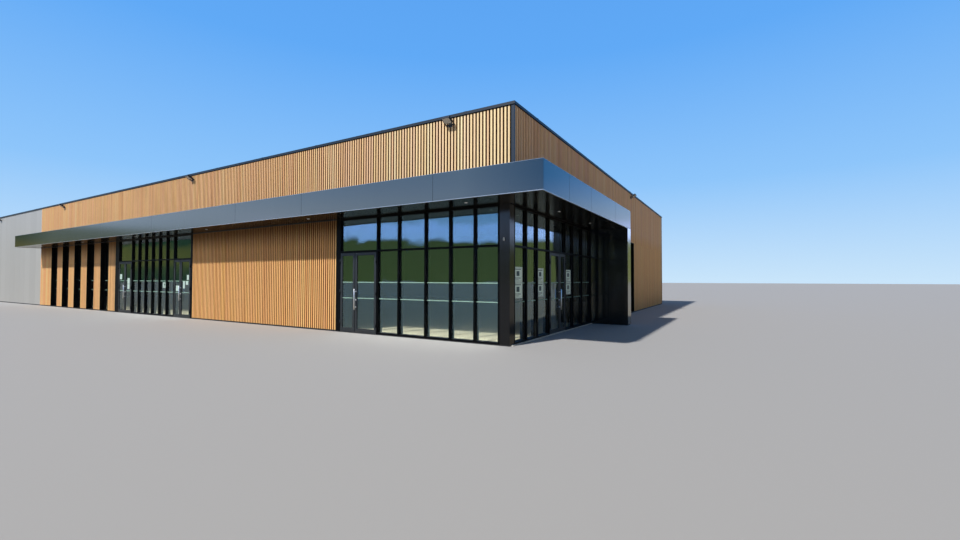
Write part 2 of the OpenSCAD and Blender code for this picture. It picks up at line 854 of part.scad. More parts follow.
// Screens
module corner_front_frame() color(frame_colour) on_front()
    screen_frame(front_door_left, corner_front_bays, [0], front_jamb_w, bar_w);

module corner_front_glass() color(glass_colour) on_front()
    screen_glass(front_door_left, corner_front_bays, [0]);

module corner_side_frame() color(frame_colour) on_side()
    screen_frame(side_screen_front + bar_w, corner_side_bays, [side_door_bay],
                 bar_w, bar_w);

module corner_side_glass() color(glass_colour) on_side()
    screen_glass(side_screen_front + bar_w, corner_side_bays, [side_door_bay]);

module middle_frame() color(frame_colour) on_front()
    screen_frame(left_door_left, middle_bays, [0, middle_door_bay],
                 left_jamb_w, middle_jamb_w);

module middle_glass() color(glass_colour) on_front()
    screen_glass(left_door_left, middle_bays, [0, middle_door_bay]);

// Windows
module window_frames() color(frame_colour) {
    on_front()
        for (i = [0 : window_count - 1]) window_frame(window_left(i));
    placed() rotate([0, 0, 90]) window_frame(side_window_front);
}

module window_glass() color(glass_colour) {
    on_front()
        for (i = [0 : window_count - 1]) window_pane(window_left(i));
    placed() rotate([0, 0, 90]) window_pane(side_window_front);
}

// Lights
module floodlights() color("#2a2d30") placed() {
    for (x = front_floodlights)
        floodlight(-x, x > -wood_left ? grey_setback : 0);
    rotate([0, 0, 90]) floodlight(side_floodlight, 0);
}

module downlights() color("#e9e7e0") placed() {
    front_y = -canopy_front / 2;
    for (i = [0 : downlight_count - 1])
        translate([-downlight_start - i * downlight_pitch, front_y,
                   soffit_z - downlight_t])
            cylinder(r = downlight_r, h = downlight_t, $fn = round_fn);
    for (y = side_downlights)
        translate([side_downlight_x, y, soffit_z - downlight_t])
            cylinder(r = downlight_r, h = downlight_t, $fn = round_fn);
}

// Doors
module front_door_left_frame() color(frame_colour) on_front()
    left_leaf_frame(front_door_left, front_left_leaf_w);
module front_door_left_glass() color(glass_colour) on_front()
    left_leaf_glass(front_door_left, front_left_leaf_w);
module front_door_right_frame() color(frame_colour) on_front()
    right_leaf_frame(front_door_left, front_door_w, front_left_leaf_w);
module front_door_right_glass() color(glass_colour) on_front()
    right_leaf_glass(front_door_left, front_door_w, front_left_leaf_w);
module front_door_handle() color("silver") on_front()
    handle(right_handle(front_door_left, front_left_leaf_w));

module middle_door_left_frame() color(frame_colour) on_front()
    left_leaf_frame(middle_door_left, middle_left_leaf_w);
module middle_door_left_glass() color(glass_colour) on_front()
    left_leaf_glass(middle_door_left, middle_left_leaf_w);
module middle_door_right_frame() color(frame_colour) on_front()
    right_leaf_frame(middle_door_left, middle_door_w, middle_left_leaf_w);
module middle_door_right_glass() color(glass_colour) on_front()
    right_leaf_glass(middle_door_left, middle_door_w, middle_left_leaf_w);
module middle_door_handle() color("silver") on_front()
    handle(right_handle(middle_door_left, middle_left_leaf_w));

module left_door_left_frame() color(frame_colour) on_front()
    left_leaf_frame(left_door_left, left_left_leaf_w);
module left_door_left_glass() color(glass_colour) on_front()
    left_leaf_glass(left_door_left, left_left_leaf_w);
module left_door_right_frame() color(frame_colour) on_front()
    right_leaf_frame(left_door_left, left_door_w, left_left_leaf_w);
module left_door_right_glass() color(glass_colour) on_front()
    right_leaf_glass(left_door_left, left_door_w, left_left_leaf_w);
module left_door_handle() color("silver") on_front()
    handle(right_handle(left_door_left, left_left_leaf_w));

module side_door_left_frame() color(frame_colour) on_side()
    left_leaf_frame(side_door_left, side_left_leaf_w);
module side_door_left_glass() color(glass_colour) on_side()
    left_leaf_glass(side_door_left, side_left_leaf_w);
module side_door_right_frame() color(frame_colour) on_side()
    right_leaf_frame(side_door_left, side_door_w, side_left_leaf_w);
module side_door_right_glass() color(glass_colour) on_side()
    right_leaf_glass(side_door_left, side_door_w, side_left_leaf_w);
module side_door_handle() color("silver") on_side()
    handle(left_handle(side_door_left, side_left_leaf_w));

floor_slab();
roof_deck();
parapet_coping();
front_wall_upper();
front_wall_left();
front_wall_centre();
window_piers();
left_wall();
back_wall();
right_wall_upper();
right_wall_rear();
front_slats_upper();
front_slats_centre();
front_slats_piers();
right_slats_upper();
right_slats_rear();
grey_cladding();
corner_trims();
base_flashing();
canopy_core();
canopy_fascia();
canopy_soffit();
canopy_roof_sheet();
return_wall();
return_wall_panels();
corner_post();
corner_front_frame();
corner_front_glass();
corner_side_frame();
corner_side_glass();
middle_frame();
middle_glass();
window_frames();
window_glass();
floodlights();
downlights();
front_door_left_frame();
front_door_left_glass();
front_door_right_frame();
front_door_right_glass();
front_door_handle();
middle_door_left_frame();
middle_door_left_glass();
middle_door_right_frame();
middle_door_right_glass();
middle_door_handle();
left_door_left_frame();
left_door_left_glass();
left_door_right_frame();
left_door_right_glass();
left_door_handle();
side_door_left_frame();
side_door_left_glass();
side_door_right_frame();
side_door_right_glass();
side_door_handle();
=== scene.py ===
"""Looks of a supermarket building at half size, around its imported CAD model.

The slatted front stands at y = -5.66 m and the slatted side at x = 11.69 m. The glazed corner
between them carries the canopy. Metres, Z up, origin at ground level under the middle.
"""
import math

import bmesh
import bpy
from mathutils import Matrix, Vector


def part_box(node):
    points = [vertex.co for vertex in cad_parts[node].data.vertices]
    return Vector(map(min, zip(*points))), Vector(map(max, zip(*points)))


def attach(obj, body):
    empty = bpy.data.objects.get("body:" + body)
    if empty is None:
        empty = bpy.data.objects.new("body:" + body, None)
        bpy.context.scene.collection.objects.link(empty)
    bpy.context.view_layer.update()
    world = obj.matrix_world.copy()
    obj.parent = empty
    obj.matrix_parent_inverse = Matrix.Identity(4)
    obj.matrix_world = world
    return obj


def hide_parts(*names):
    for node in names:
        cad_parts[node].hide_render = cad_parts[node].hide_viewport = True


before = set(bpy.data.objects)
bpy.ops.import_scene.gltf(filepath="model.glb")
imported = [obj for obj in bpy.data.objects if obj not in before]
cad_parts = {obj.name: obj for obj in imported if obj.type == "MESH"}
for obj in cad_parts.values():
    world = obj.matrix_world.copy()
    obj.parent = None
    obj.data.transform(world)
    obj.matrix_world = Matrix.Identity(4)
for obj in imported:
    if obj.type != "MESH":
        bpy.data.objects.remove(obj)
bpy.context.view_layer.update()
scene = bpy.context.scene


# Studio. A plain pale floor under a blue backdrop, with one broad key lamp high at the front left
# and even light from all round. Gloss and glass mirror the same backdrop with a dark low rim, and
# a darker floor.
camera_place = Vector((14.158, -10.677, 0.841))
camera_turn = math.radians(30.634)
camera_lift = math.radians(1.281)
camera_roll = math.radians(0.134)
camera_reach = 500
photo_width_px = 960
focal_px = 443.1
key_direction = Vector((0.197, 0.664, -0.721))
key_strength = 3.84
key_colour = (1.0, 0.955, 0.905)
key_spread = math.radians(2)
even_colour = (0.57, 0.73, 1.0, 1)
even_strength = 0.185
floor_reach = 150.0
floor_colour = (0.44, 0.435, 0.425, 1)
mirrored_floor_colour = (0.28, 0.24, 0.17, 1)
# Colours up the backdrop: what the camera sees, and what gloss and glass mirror of its far left and
# of the rest
seen_stops = [
    (0.0, (0.58, 0.78, 0.96)), (0.20, (0.27, 0.56, 0.96)), (0.45, (0.12, 0.40, 0.92)),
    (1.0, (0.06, 0.26, 0.76))]
high_stops = [
    (0.13, (0.62, 0.87, 1.25)), (0.16, (0.47, 0.78, 1.27)), (0.18, (0.33, 0.67, 1.26)),
    (0.205, (0.22, 0.57, 1.24)), (0.225, (0.12, 0.49, 1.15)), (0.52, (0.06, 0.34, 0.95)),
    (1.0, (0.05, 0.26, 0.76))]
left_stops = [
    (0.0, (0.06, 0.11, 0.06)), (0.018, (0.10, 0.14, 0.06)), (0.030, (0.22, 0.21, 0.06)),
    (0.055, (0.20, 0.20, 0.06)), (0.063, (0.05, 0.10, 0.055)), (0.085, (0.06, 0.115, 0.07)),
    (0.0935, (0.58, 0.82, 1.15))] + high_stops
mirrored_stops = [
    (0.0, (0.20, 0.22, 0.07)), (0.082, (0.18, 0.20, 0.07)), (0.090, (0.90, 1.15, 1.75)),
    (0.118, (0.95, 1.20, 1.95))] + high_stops
far_left = (-0.88, -0.79)


def paint(red, green, blue):
    """Colour as Blender holds it, from the 0 to 255 values that a colour card gives"""
    def linear(value):
        share = value / 255
        return share / 12.92 if share <= 0.04045 else ((share + 0.055) / 1.055) ** 2.4
    return (linear(red), linear(green), linear(blue), 1.0)


def give(node, given):
    """Gives a node's sockets values, outputs of other nodes, or the first outputs of nodes"""
    for name, value in given.items():
        if isinstance(value, bpy.types.Node):
            value = next(output for output in value.outputs if output.enabled)
        if isinstance(value, bpy.types.NodeSocket):
            node.id_data.links.new(value, node.inputs[name])
        else:
            node.inputs[name].default_value = value


def add(tree, kind, given=None, **settings):
    """New node in a tree, with its settings and what its sockets are given"""
    node = tree.nodes.new(kind)
    for name, value in settings.items():
        setattr(node, name, value)
    give(node, given or {})
    return node


def maths(operation, *values, kind="ShaderNodeMath"):
    """Node that works out one value from others"""
    return add(values[0].id_data, kind, dict(enumerate(values)), operation=operation)


def span(value, start=0.0, end=1.0, low=0.0, high=1.0, kind="LINEAR"):
    """Node that goes from low to high while a value goes from its start to its end"""
    return add(value.id_data, "ShaderNodeMapRange", {
        "Value": value, "From Min": start, "From Max": end, "To Min": low, "To Max": high},
        interpolation_type=kind)


def blend(share, first, second):
    """Node that goes from one colour to another with a share"""
    return add(share.id_data, "ShaderNodeMix", {"Factor": share, "A": first, "B": second},
               data_type="RGBA")


def fade(value, stops):
    """Node that goes through colours, each given with the value that it stands at"""
    node = add(value.id_data, "ShaderNodeValToRGB", {"Fac": value})
    ramp = node.color_ramp.elements
    for element, (_, colour) in zip(ramp, (stops[0], stops[-1])):
        element.color = (*colour[:3], 1)
    for position, colour in stops[1:-1]:
        ramp.new(position).color = (*colour[:3], 1)
    return node


def shader_of(material):
    return material.node_tree.nodes["Principled BSDF"]


def new_material(name, colour, roughness, given=None):
    """Material with one Principled shader, and what its sockets are given"""
    material = bpy.data.materials.new(name)
    material.use_nodes = True
    give(shader_of(material), {"Base Color": colour, "Roughness": roughness, **(given or {})})
    return material


def new_object(name, data):
    made = bpy.data.objects.new(name, data)
    scene.collection.objects.link(made)
    return made


ahead = Vector((-math.sin(camera_turn) * math.cos(camera_lift),
                math.cos(camera_turn) * math.cos(camera_lift), math.sin(camera_lift)))
level_right = Vector((math.cos(camera_turn), math.sin(camera_turn), 0))
level_up = level_right.cross(ahead)
camera_right = level_right * math.cos(camera_roll) + level_up * math.sin(camera_roll)
camera_up = level_up * math.cos(camera_roll) - level_right * math.sin(camera_roll)
lens = bpy.data.cameras.new("camera")
lens.sensor_width = 36
lens.lens = focal_px / photo_width_px * lens.sensor_width
lens.clip_end = camera_reach
camera = new_object("camera", lens)
camera.matrix_world = Matrix.Translation(camera_place) @ Matrix(
    (camera_right, camera_up, -ahead)).transposed().to_4x4()
scene.camera = camera
scene.view_settings.view_transform = "Standard"

floor_mesh = bpy.data.meshes.new("studio_floor")
floor_mesh.from_pydata([(x * floor_reach, y * floor_reach, 0)
                        for x, y in ((-1, -1), (1, -1), (1, 1), (-1, 1))], [], [(0, 1, 2, 3)])
floor_finish = new_material("studio_floor", floor_colour, 0.9)
floor_mirrored = add(floor_finish.node_tree, "ShaderNodeLightPath").outputs["Is Glossy Ray"]
give(shader_of(floor_finish), {
    "Base Color": blend(floor_mirrored, floor_colour, mirrored_floor_colour)})
floor_mesh.materials.append(floor_finish)
new_object("studio_floor", floor_mesh)

key = bpy.data.lights.new("key", "SUN")
key.energy, key.color, key.angle = key_strength, key_colour, key_spread
new_object("key", key).rotation_euler = key_direction.to_track_quat("-Z", "Y").to_euler()

world = bpy.data.worlds.new("backdrop")
world.use_nodes = True
scene.world = world
sky = world.node_tree
sky.nodes.clear()
ray = add(sky, "ShaderNodeLightPath").outputs
way = add(sky, "ShaderNodeSeparateXYZ", {
    0: add(sky, "ShaderNodeTexCoord").outputs["Generated"]}).outputs
mirrored = blend(span(way["X"], *far_left, kind="SMOOTHSTEP"), fade(way["Z"], left_stops),
                 fade(way["Z"], mirrored_stops))
shown = blend(ray["Is Glossy Ray"], fade(way["Z"], seen_stops), mirrored)
is_shown = maths("MAXIMUM", ray["Is Transmission Ray"],
                 maths("MAXIMUM", ray["Is Camera Ray"], ray["Is Glossy Ray"]))
even_light = add(sky, "ShaderNodeBackground", {"Color": even_colour, "Strength": even_strength})
add(sky, "ShaderNodeOutputWorld", {"Surface": add(sky, "ShaderNodeMixShader", {
    "Fac": is_shown, 1: even_light, 2: add(sky, "ShaderNodeBackground", {"Color": shown})})})


# Slatted cladding. Upright larch slats with eased edges, one every 51.5 mm, screwed from behind to
# level battens in front of a black membrane. Each slat has its own tone and grain, and painted
# shade darkens the slats' sides deep between them.
slat_pitch = 0.0515
slat_width = 0.0286
slat_depth = 0.028
slat_edge = 0.0045
batten_height = 0.022
batten_spacing = 0.30
membrane_depth = 0.036
membrane_back = 0.040
# A dark strip along the top of each upper slat row is painted shade for the shadow under the coping
top_shadow_height = 0.009
top_shadow_out = 0.001
fine_edge = 0.0004
grain_stretch = (1.0, 1.0, 0.03)
grain_shift = 37.0
larch_tones = [(0.0, paint(236, 176, 122)), (0.16, paint(247, 191, 144)),
               (0.34, paint(252, 202, 142)), (0.5, paint(240, 184, 130)),
               (0.66, paint(251, 198, 147)), (0.82, paint(246, 194, 132)),
               (1.0, paint(253, 210, 156))]
# Painted shade: the slats' sides are painted darker towards the membrane, where shade falls between
# them
depth_shade_colour = (0.30, 0.135, 0.045, 1)
# Where tints change on the walls: the painted shade up from under the soffit, past the canopy, and
# the painted light along the front from its left end and past the piers, and the painted highlight
# near the corner
under_soffit = (1.34, 1.80)
past_canopy = (1.85, 2.15)
along_front = (-4.5, 6.5)
past_piers = (0.4, 4.0)
near_corner = (7.3, 11.3)
# For each wall: the axis along it, the axis across it, whether its outer face is the low or the
# high one, and its turn from the front
walls = {"front": (0, 1, 0, 0), "right": (1, 0, 1, 90), "back": (0, 1, 1, 180),
         "left": (1, 0, 0, 270)}


def solids(node):
    """Lowest and highest corner of each separate solid of a CAD node, in order of place"""
    shape = bmesh.new()
    shape.from_mesh(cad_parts[node].data)
    bmesh.ops.remove_doubles(shape, verts=shape.verts, dist=1e-6)
    waiting = set(shape.verts)
    found = []
    while waiting:
        edge, group = [waiting.pop()], []
        while edge:
            vert = edge.pop()
            group.append(vert.co)
            reached = {link.other_vert(vert) for link in vert.link_edges} & waiting
            waiting -= reached
            edge += reached
        found.append([tuple(round(pick(co[i] for co in group), 6) for i in range(3))
                      for pick in (min, max)])
    shape.free()
    return [(Vector(low), Vector(high)) for low, high in sorted(found)]


def part(box, spans):
    """Copy of a box with a new near and far end along each axis that spans names"""
    low, high = box[0].copy(), box[1].copy()
    for axis, ends in spans.items():
        low[axis], high[axis] = ends
    return low, high


def shrunk(box, inset, *axes):
    """Copy of a box with both ends moved in along the axes"""
    return part(box, {axis: (box[0][axis] + inset, box[1][axis] - inset) for axis in axes})


def layer(box, wall, near, far, spans=None):
    """Part of a box on a wall that lies between two depths behind the box's outer face"""
    _, across, side, _ = walls[wall]
    low, high = box[0][across], box[1][across]
    depths = (high - far, high - near) if side else (low + near, low + far)
    return part(box, {across: depths, **(spans or {})})


def add_boxes(shape, boxes, edge=0.0, segments=1, stand=Matrix()):
    """Adds separate boxes to a bmesh, with eased edges where an edge width is given"""
    for low, high in boxes:
        place = stand @ Matrix.Translation((low + high) / 2) @ Matrix.Diagonal((*(high - low), 1.0))
        made = bmesh.ops.create_cube(shape, size=1.0, matrix=place)
        if edge:
            edges = {link for vert in made["verts"] for link in vert.link_edges}
            bmesh.ops.bevel(shape, geom=sorted(edges, key=lambda e: e.index), offset=edge,
                            segments=segments, affect="EDGES", clamp_overlap=True)
    return shape


def carry(name, mesh, material, body="root", smooth=False):
    """Piece of the building, in its finish, on its body. A bmesh is made into a mesh with its
    faces turned outwards"""
    if isinstance(mesh, bmesh.types.BMesh):
        shape, mesh = mesh, bpy.data.meshes.new(name)
        bmesh.ops.recalc_face_normals(shape, faces=shape.faces)
        for face in shape.faces:
            face.smooth = smooth
        shape.to_mesh(mesh)
        shape.free()
    made = new_object(name, mesh)
    if material.name not in mesh.materials:
        mesh.materials.append(material)
    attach(made, body)
    return made


def carry_boxes(name, boxes, material, body="root", edge=0.0):
    """Piece of the building made of boxes, with eased edges where an edge width is given"""
    return carry(name, add_boxes(bmesh.new(), boxes, edge), material, body)


def tree_with(name, kind, inputs, outputs):
    """New tree of nodes with named inputs and outputs, and what its inputs put out"""
    tree = bpy.data.node_groups.new(name, kind)
    for in_out, sockets in (("INPUT", inputs), ("OUTPUT", outputs)):
        for socket, socket_kind in sockets.items():
            tree.interface.new_socket(socket, in_out=in_out, socket_type="NodeSocket" + socket_kind)
    return tree, add(tree, "NodeGroupInput").outputs


def upright_tree():
    """Geometry Nodes tree that stands an upright with eased edges on each point. A point's own
    attribute tall is its upright's height. Each upright gets a random tone, and each of its
    corners gets its depth behind the outer face as a share"""
    tree, given = tree_with("uprights", "GeometryNodeTree", {
        "Points": "Geometry", "Width": "Float", "Depth": "Float", "Edge": "Float", "Turn": "Float",
        "Seed": "Int", "Finish": "Material"}, {"Uprights": "Geometry"})
    outline = add(tree, "GeometryNodeCurvePrimitiveQuadrilateral", {
        "Width": given["Width"], "Height": given["Depth"]})
    eased = add(tree, "GeometryNodeFilletCurve", {
        "Curve": outline, "Radius": given["Edge"], "Count": 3}, mode="POLY")
    foot = add(tree, "GeometryNodeFillCurve", {"Curve": eased})
    sides = add(tree, "GeometryNodeExtrudeMesh", {
        "Mesh": foot, "Offset": (0, 0, 1), "Offset Scale": 1.0, "Individual": False})
    closed = add(tree, "GeometryNodeJoinGeometry", {0: sides})
    give(closed, {0: add(tree, "GeometryNodeFlipFaces", {0: foot})})
    welded = add(tree, "GeometryNodeMergeByDistance", {"Geometry": closed, "Distance": 1e-5})
    behind = add(tree, "GeometryNodeTransform", {
        "Geometry": welded, "Translation": add(tree, "ShaderNodeCombineXYZ", {
            "Y": maths("MULTIPLY", given["Depth"], 0.5)})})
    spot = add(tree, "ShaderNodeSeparateXYZ", {0: add(tree, "GeometryNodeInputPosition")})
    deep = add(tree, "GeometryNodeStoreNamedAttribute", {
        "Geometry": behind, "Name": "deep",
        "Value": maths("DIVIDE", spot.outputs["Y"], given["Depth"])},
        data_type="FLOAT", domain="POINT")
    tall = add(tree, "GeometryNodeInputNamedAttribute", {"Name": "tall"}, data_type="FLOAT")
    stand = add(tree, "GeometryNodeInstanceOnPoints", {
        "Points": given["Points"], "Instance": deep,
        "Rotation": add(tree, "ShaderNodeCombineXYZ", {"Z": given["Turn"]}),
        "Scale": add(tree, "ShaderNodeCombineXYZ", {"X": 1, "Y": 1, "Z": tall})})
    draw = add(tree, "FunctionNodeRandomValue", {"Seed": given["Seed"]}, data_type="FLOAT")
    tone = add(tree, "GeometryNodeStoreNamedAttribute", {
        "Geometry": stand, "Name": "tone", "Value": draw}, data_type="FLOAT", domain="INSTANCE")
    real = add(tree, "GeometryNodeRealizeInstances", {"Geometry": tone})
    add(tree, "NodeGroupOutput", {"Uprights": add(tree, "GeometryNodeSetMaterial", {
        "Geometry": real, "Material": given["Finish"]})})
    return tree


uprights = upright_tree()


def upright_mesh(name, boxes, wall, seed, pitch, width, depth, edge, finish):
    """Plain mesh of the uprights that fit side by side on the outer faces of boxes on a wall"""
    along, across, side, turned = walls[wall]
    feet, heights = [], []
    for box in boxes:
        run = (box[1] - box[0])[along]
        count = math.floor((run + pitch - width) / pitch + 1e-6)
        start = box[0][along] + (run - (count - 1) * pitch) / 2
        for i in range(count):
            foot = box[0].copy()
            foot[along], foot[across] = start + i * pitch, box[side][across]
            feet.append(foot)
            heights.append(box[1].z - box[0].z)
    sizes = {"Width": width, "Depth": depth, "Edge": edge, "Turn": math.radians(turned),
             "Seed": seed, "Finish": finish}
    points = bpy.data.meshes.new(name)
    points.from_pydata(feet, [], [])
    points.attributes.new("tall", "FLOAT", "POINT").data.foreach_set("value", heights)
    holder = new_object(name + "_feet", points)
    modifier = holder.modifiers.new("uprights", "NODES")
    modifier.node_group = uprights
    for item in uprights.interface.items_tree:
        if item.in_out == "INPUT" and item.name in sizes:
            modifier[item.identifier] = sizes[item.name]
    grown = bpy.data.meshes.new_from_object(
        holder.evaluated_get(bpy.context.evaluated_depsgraph_get()))
    holder.modifiers.remove(modifier)
    bpy.data.objects.remove(holder)
    grown.name = name
    return grown


def place_in(tree):
    return add(tree, "ShaderNodeTexCoord").outputs["Object"]


def parts_in(tree):
    """Outputs X, Y and Z of the place"""
    return add(tree, "ShaderNodeSeparateXYZ", {0: place_in(tree)}).outputs


def noise(place, scale, detail, roughness=0.5):
    return add(place.id_data, "ShaderNodeTexNoise", {
        "Vector": place, "Scale": scale, "Detail": detail, "Roughness": roughness})


def relief(height, strength, distance):
    return add(height.id_data, "ShaderNodeBump", {
        "Height": height, "Strength": strength, "Distance": distance})


def shaded(colour, shade):
    return add(colour.id_data, "ShaderNodeVectorMath", {0: colour, "Scale": shade},
               operation="SCALE")


def tinted(colour, tint):
    return maths("MULTIPLY", colour, tint, kind="ShaderNodeVectorMath")


def timber_material(name, head, piers, sheltered, far, near):
    """Larch in a tone of its own for each slat, with painted shade deep between the slats. The
    tints are painted shade for timber right under the soffit, painted light on the piers, the tint
    of the sheltered timber on the centre wall, the weathered timber far from the corner and a
    painted highlight near the corner. The whole wall is painted a little paler towards its left
    end, as painted light"""
    material = new_material(name, paint(205, 160, 108), 0.62, {
        "Sheen Weight": 0.4, "Sheen Roughness": 0.35, "Sheen Tint": (1.0, 0.55, 0.25, 1)})
    tree = material.node_tree
    at = parts_in(tree)
    tone, deep = (add(tree, "ShaderNodeAttribute", attribute_name=name).outputs["Fac"]
                  for name in ("tone", "deep"))
    stretched = add(tree, "ShaderNodeMapping", {"Vector": place_in(tree), "Scale": grain_stretch})
    spot = maths("ADD", stretched, maths("MULTIPLY", tone, grain_shift),
                 kind="ShaderNodeVectorMath")
    grain, figure = noise(spot, 260, 5, 0.6), noise(spot, 22, 2)
    shade = maths("MULTIPLY", span(grain, 0.3, 0.7, 0.86, 1.10),
                  span(figure, 0.3, 0.7, 0.92, 1.06))
    # Painted light: the wall is painted paler towards its left end
    shade = maths("MULTIPLY", shade, span(at["X"], *along_front, 1.15, 0.94))
    # Painted light: the piers are painted lighter than the centre wall
    low_tint = blend(span(at["X"], *past_piers), piers, sheltered)
    # Painted shade: timber right under the soffit is painted dark, where the canopy shades it
    canopy_tint = blend(span(at["Z"], *under_soffit, kind="SMOOTHSTEP"), low_tint, head)
    # Painted highlight: the timber near the corner is painted paler and creamier
    open_tint = blend(span(at["X"], *near_corner), far, near)
    place_tint = blend(span(at["Z"], *past_canopy), canopy_tint, open_tint)
    # Painted shade deep between the slats
    depth_shade = blend(span(deep, 0.16, 0.55, kind="SMOOTHSTEP"), (1, 1, 1, 1), depth_shade_colour)
    colour = tinted(tinted(fade(tone, larch_tones), place_tint), depth_shade)
    give(shader_of(material), {
        "Base Color": shaded(colour, shade), "Roughness": span(grain, 0, 1, 0.72, 0.52),
        "Normal": relief(grain, 0.35, 0.0008)})
    return material


def weathering_group():
    """Shader group: rain marks that run down a sheet, wide cloudy patches and a fine grain"""
    group, given = tree_with("weathering", "ShaderNodeTree", {
        "Colour": "Color", "Roughness": "Float", "Rain Marks": "Float", "Patches": "Float",
        "Patch Scale": "Float", "Grain Scale": "Float"},
        {"Colour": "Color", "Roughness": "Float", "Height": "Float"})
    place = place_in(group)
    down = add(group, "ShaderNodeMapping", {"Vector": place, "Scale": (1.0, 1.0, 0.06)})
    clouds = {"Rain Marks": noise(down, 14, 4), "Patches": noise(place, given["Patch Scale"], 3)}
    change = maths("ADD", *[maths("MULTIPLY", maths("SUBTRACT", cloud, 0.5), given[amount])
                            for amount, cloud in clouds.items()])
    add(group, "NodeGroupOutput", {
        "Colour": shaded(given["Colour"], maths("ADD", change, 1.0)),
        "Roughness": maths("ADD", maths("MULTIPLY", change, -0.4), given["Roughness"]),
        "Height": noise(place, given["Grain Scale"], 1)})
    return group


weathering = weathering_group()


def weathered(name, colour, roughness, rain_marks, patches, patch_scale=1.5, grain_scale=900.0,
              grain_depth=0.0003, given=None):
    """Material whose colour, gloss and relief vary with the weather"""
    material = new_material(name, colour, roughness, given)
    weather = add(material.node_tree, "ShaderNodeGroup", node_tree=weathering)
    give(weather, {"Colour": colour, "Roughness": roughness, "Rain Marks": rain_marks,
                   "Patches": patches, "Patch Scale": patch_scale, "Grain Scale": grain_scale})
    give(shader_of(material), {
        "Base Color": weather.outputs["Colour"], "Roughness": weather.outputs["Roughness"],
        "Normal": relief(weather.outputs["Height"], 0.4, grain_depth)})
    return material


# In the front timber, head is painted shade under the soffit, piers is painted light and near is a
# painted highlight near the corner
front_timber = timber_material(
    "front_timber", head=(0.24, 0.18, 0.07, 1), piers=(1.02, 1.06, 0.95, 1),
    sheltered=(1.06, 1.02, 0.80, 1), far=(1.0, 1.05, 1.06, 1), near=(1.14, 1.50, 1.84, 1))
low_side_tint, open_side_tint = (1.05, 1.02, 0.87, 1), (1.06, 1.11, 1.23, 1)
side_timber = timber_material("side_timber", low_side_tint, low_side_tint, low_side_tint,
                              open_side_tint, open_side_tint)
membrane = weathered("membrane", paint(22, 13, 7), 0.9, 0.1, 0.3)
for node, wall, seed in [
        ("front_slats_upper", "front", 11), ("front_slats_centre", "front", 12),
        ("front_slats_piers", "front", 13), ("right_slats_upper", "right", 14),
        ("right_slats_rear", "right", 15)]:
    backing, top_shadow_strips = [], []
    for box in solids(node):
        backing.append(layer(box, wall, membrane_depth, membrane_back))
        height = (box[1] - box[0]).z
        battens = max(2, round(height / batten_spacing))
        for i in range(battens):
            foot = box[0].z + height * (i + 0.5) / battens - batten_height / 2
            backing.append(layer(box, wall, slat_depth, membrane_depth,
                                 {2: (foot, foot + batten_height)}))
        # Painted shade: a dark strip at the top of the slats stands for the shadow under the coping
        top_shadow_strips.append(layer(box, wall, -top_shadow_out, slat_edge,
                             {2: (box[1].z - top_shadow_height, box[1].z)}))
    timber = front_timber if wall == "front" else side_timber
    name = node.replace("_slats", "_slat_row")
    slats = carry(name, upright_mesh(name, solids(node), wall, seed, slat_pitch, slat_width,
                                     slat_depth, slat_edge, timber), timber)
    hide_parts(node)
    carry_boxes(node + "_backing", backing, membrane)
    if "upper" in node:
        carry_boxes(node + "_top_shadow_strip", top_shadow_strips, membrane, edge=fine_edge)


# Grey sheet cladding on the left part of the front, the left end and the back. Flat steel sandwich
# panels stand side by side with open joints over a dark seal, each in a tone of its own.
sheet_target_pitch = 0.50
sheet_joint = 0.003
sheet_depth = 0.024
sheet_edge = 0.002
sheet_shades = (0.955, 1.035)


def shade_by(material, value, darkest, lightest, start=0.0, end=1.0):
    """Multiplies a material's colour by a shade that goes with a value from start to end"""
    shader = shader_of(material)
    colour = shader.inputs["Base Color"].links[0].from_socket
    give(shader, {"Base Color": shaded(colour, span(value, start, end, darkest, lightest))})


grey_sheet = weathered("grey_sheet", paint(173, 174, 173), 0.42, 0.05, 0.04)
sheet_tone = add(grey_sheet.node_tree, "ShaderNodeAttribute", attribute_name="tone")
shade_by(grey_sheet, sheet_tone.outputs["Fac"], *sheet_shades)
joint_seal = weathered("joint_seal", paint(112, 114, 115), 0.8, 0.2, 0.1)
left_box, *long_boxes = sorted(solids("grey_cladding"), key=lambda box: (box[1] - box[0]).x)
front_box, back_box = sorted(long_boxes, key=lambda box: box[0].y)
grey_seals = []
for wall, box, seed in [("front", front_box, 21), ("left", left_box, 22), ("back", back_box, 23)]:
    size = box[1] - box[0]
    run, depth = size[walls[wall][0]], size[walls[wall][1]]
    pitch = run / round(run / sheet_target_pitch)
    name = "grey_sheets_" + wall
    sheets = carry(name, upright_mesh(name, [box], wall, seed, pitch, pitch - sheet_joint,
                                      sheet_depth, sheet_edge, grey_sheet),
                   grey_sheet)
    if wall == "front":
        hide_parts("grey_cladding")
    grey_seals.append(layer(box, wall, sheet_depth, depth))
carry_boxes("grey_sheet_seals", grey_seals, joint_seal)


# Coping. Folded anthracite sheet over the top of the walls, with a fall to the roof, a kick at the
# foot of its outer face, mitred corners and a cover strap over each joint.
rim = 0.0012
coping_kick = 0.004
coping_lip = 0.005
coping_fold = 0.002
coping_fall = 0.008
strap_width = 0.045
strap_spacing = 1.5
strap_lift = 0.001


def bridge(shape, rings):
    """Faces between each ring of corners and the next. A ring may be a single corner"""
    for first, second in zip(rings, rings[1:]):
        sides = max(len(first), len(second))
        for j in range(sides):
            k = (j + 1) % sides
            corners = (first[j % len(first)], second[j % len(second)], second[k % len(second)],
                       first[k % len(first)])
            shape.faces.new(list(dict.fromkeys(corners)))


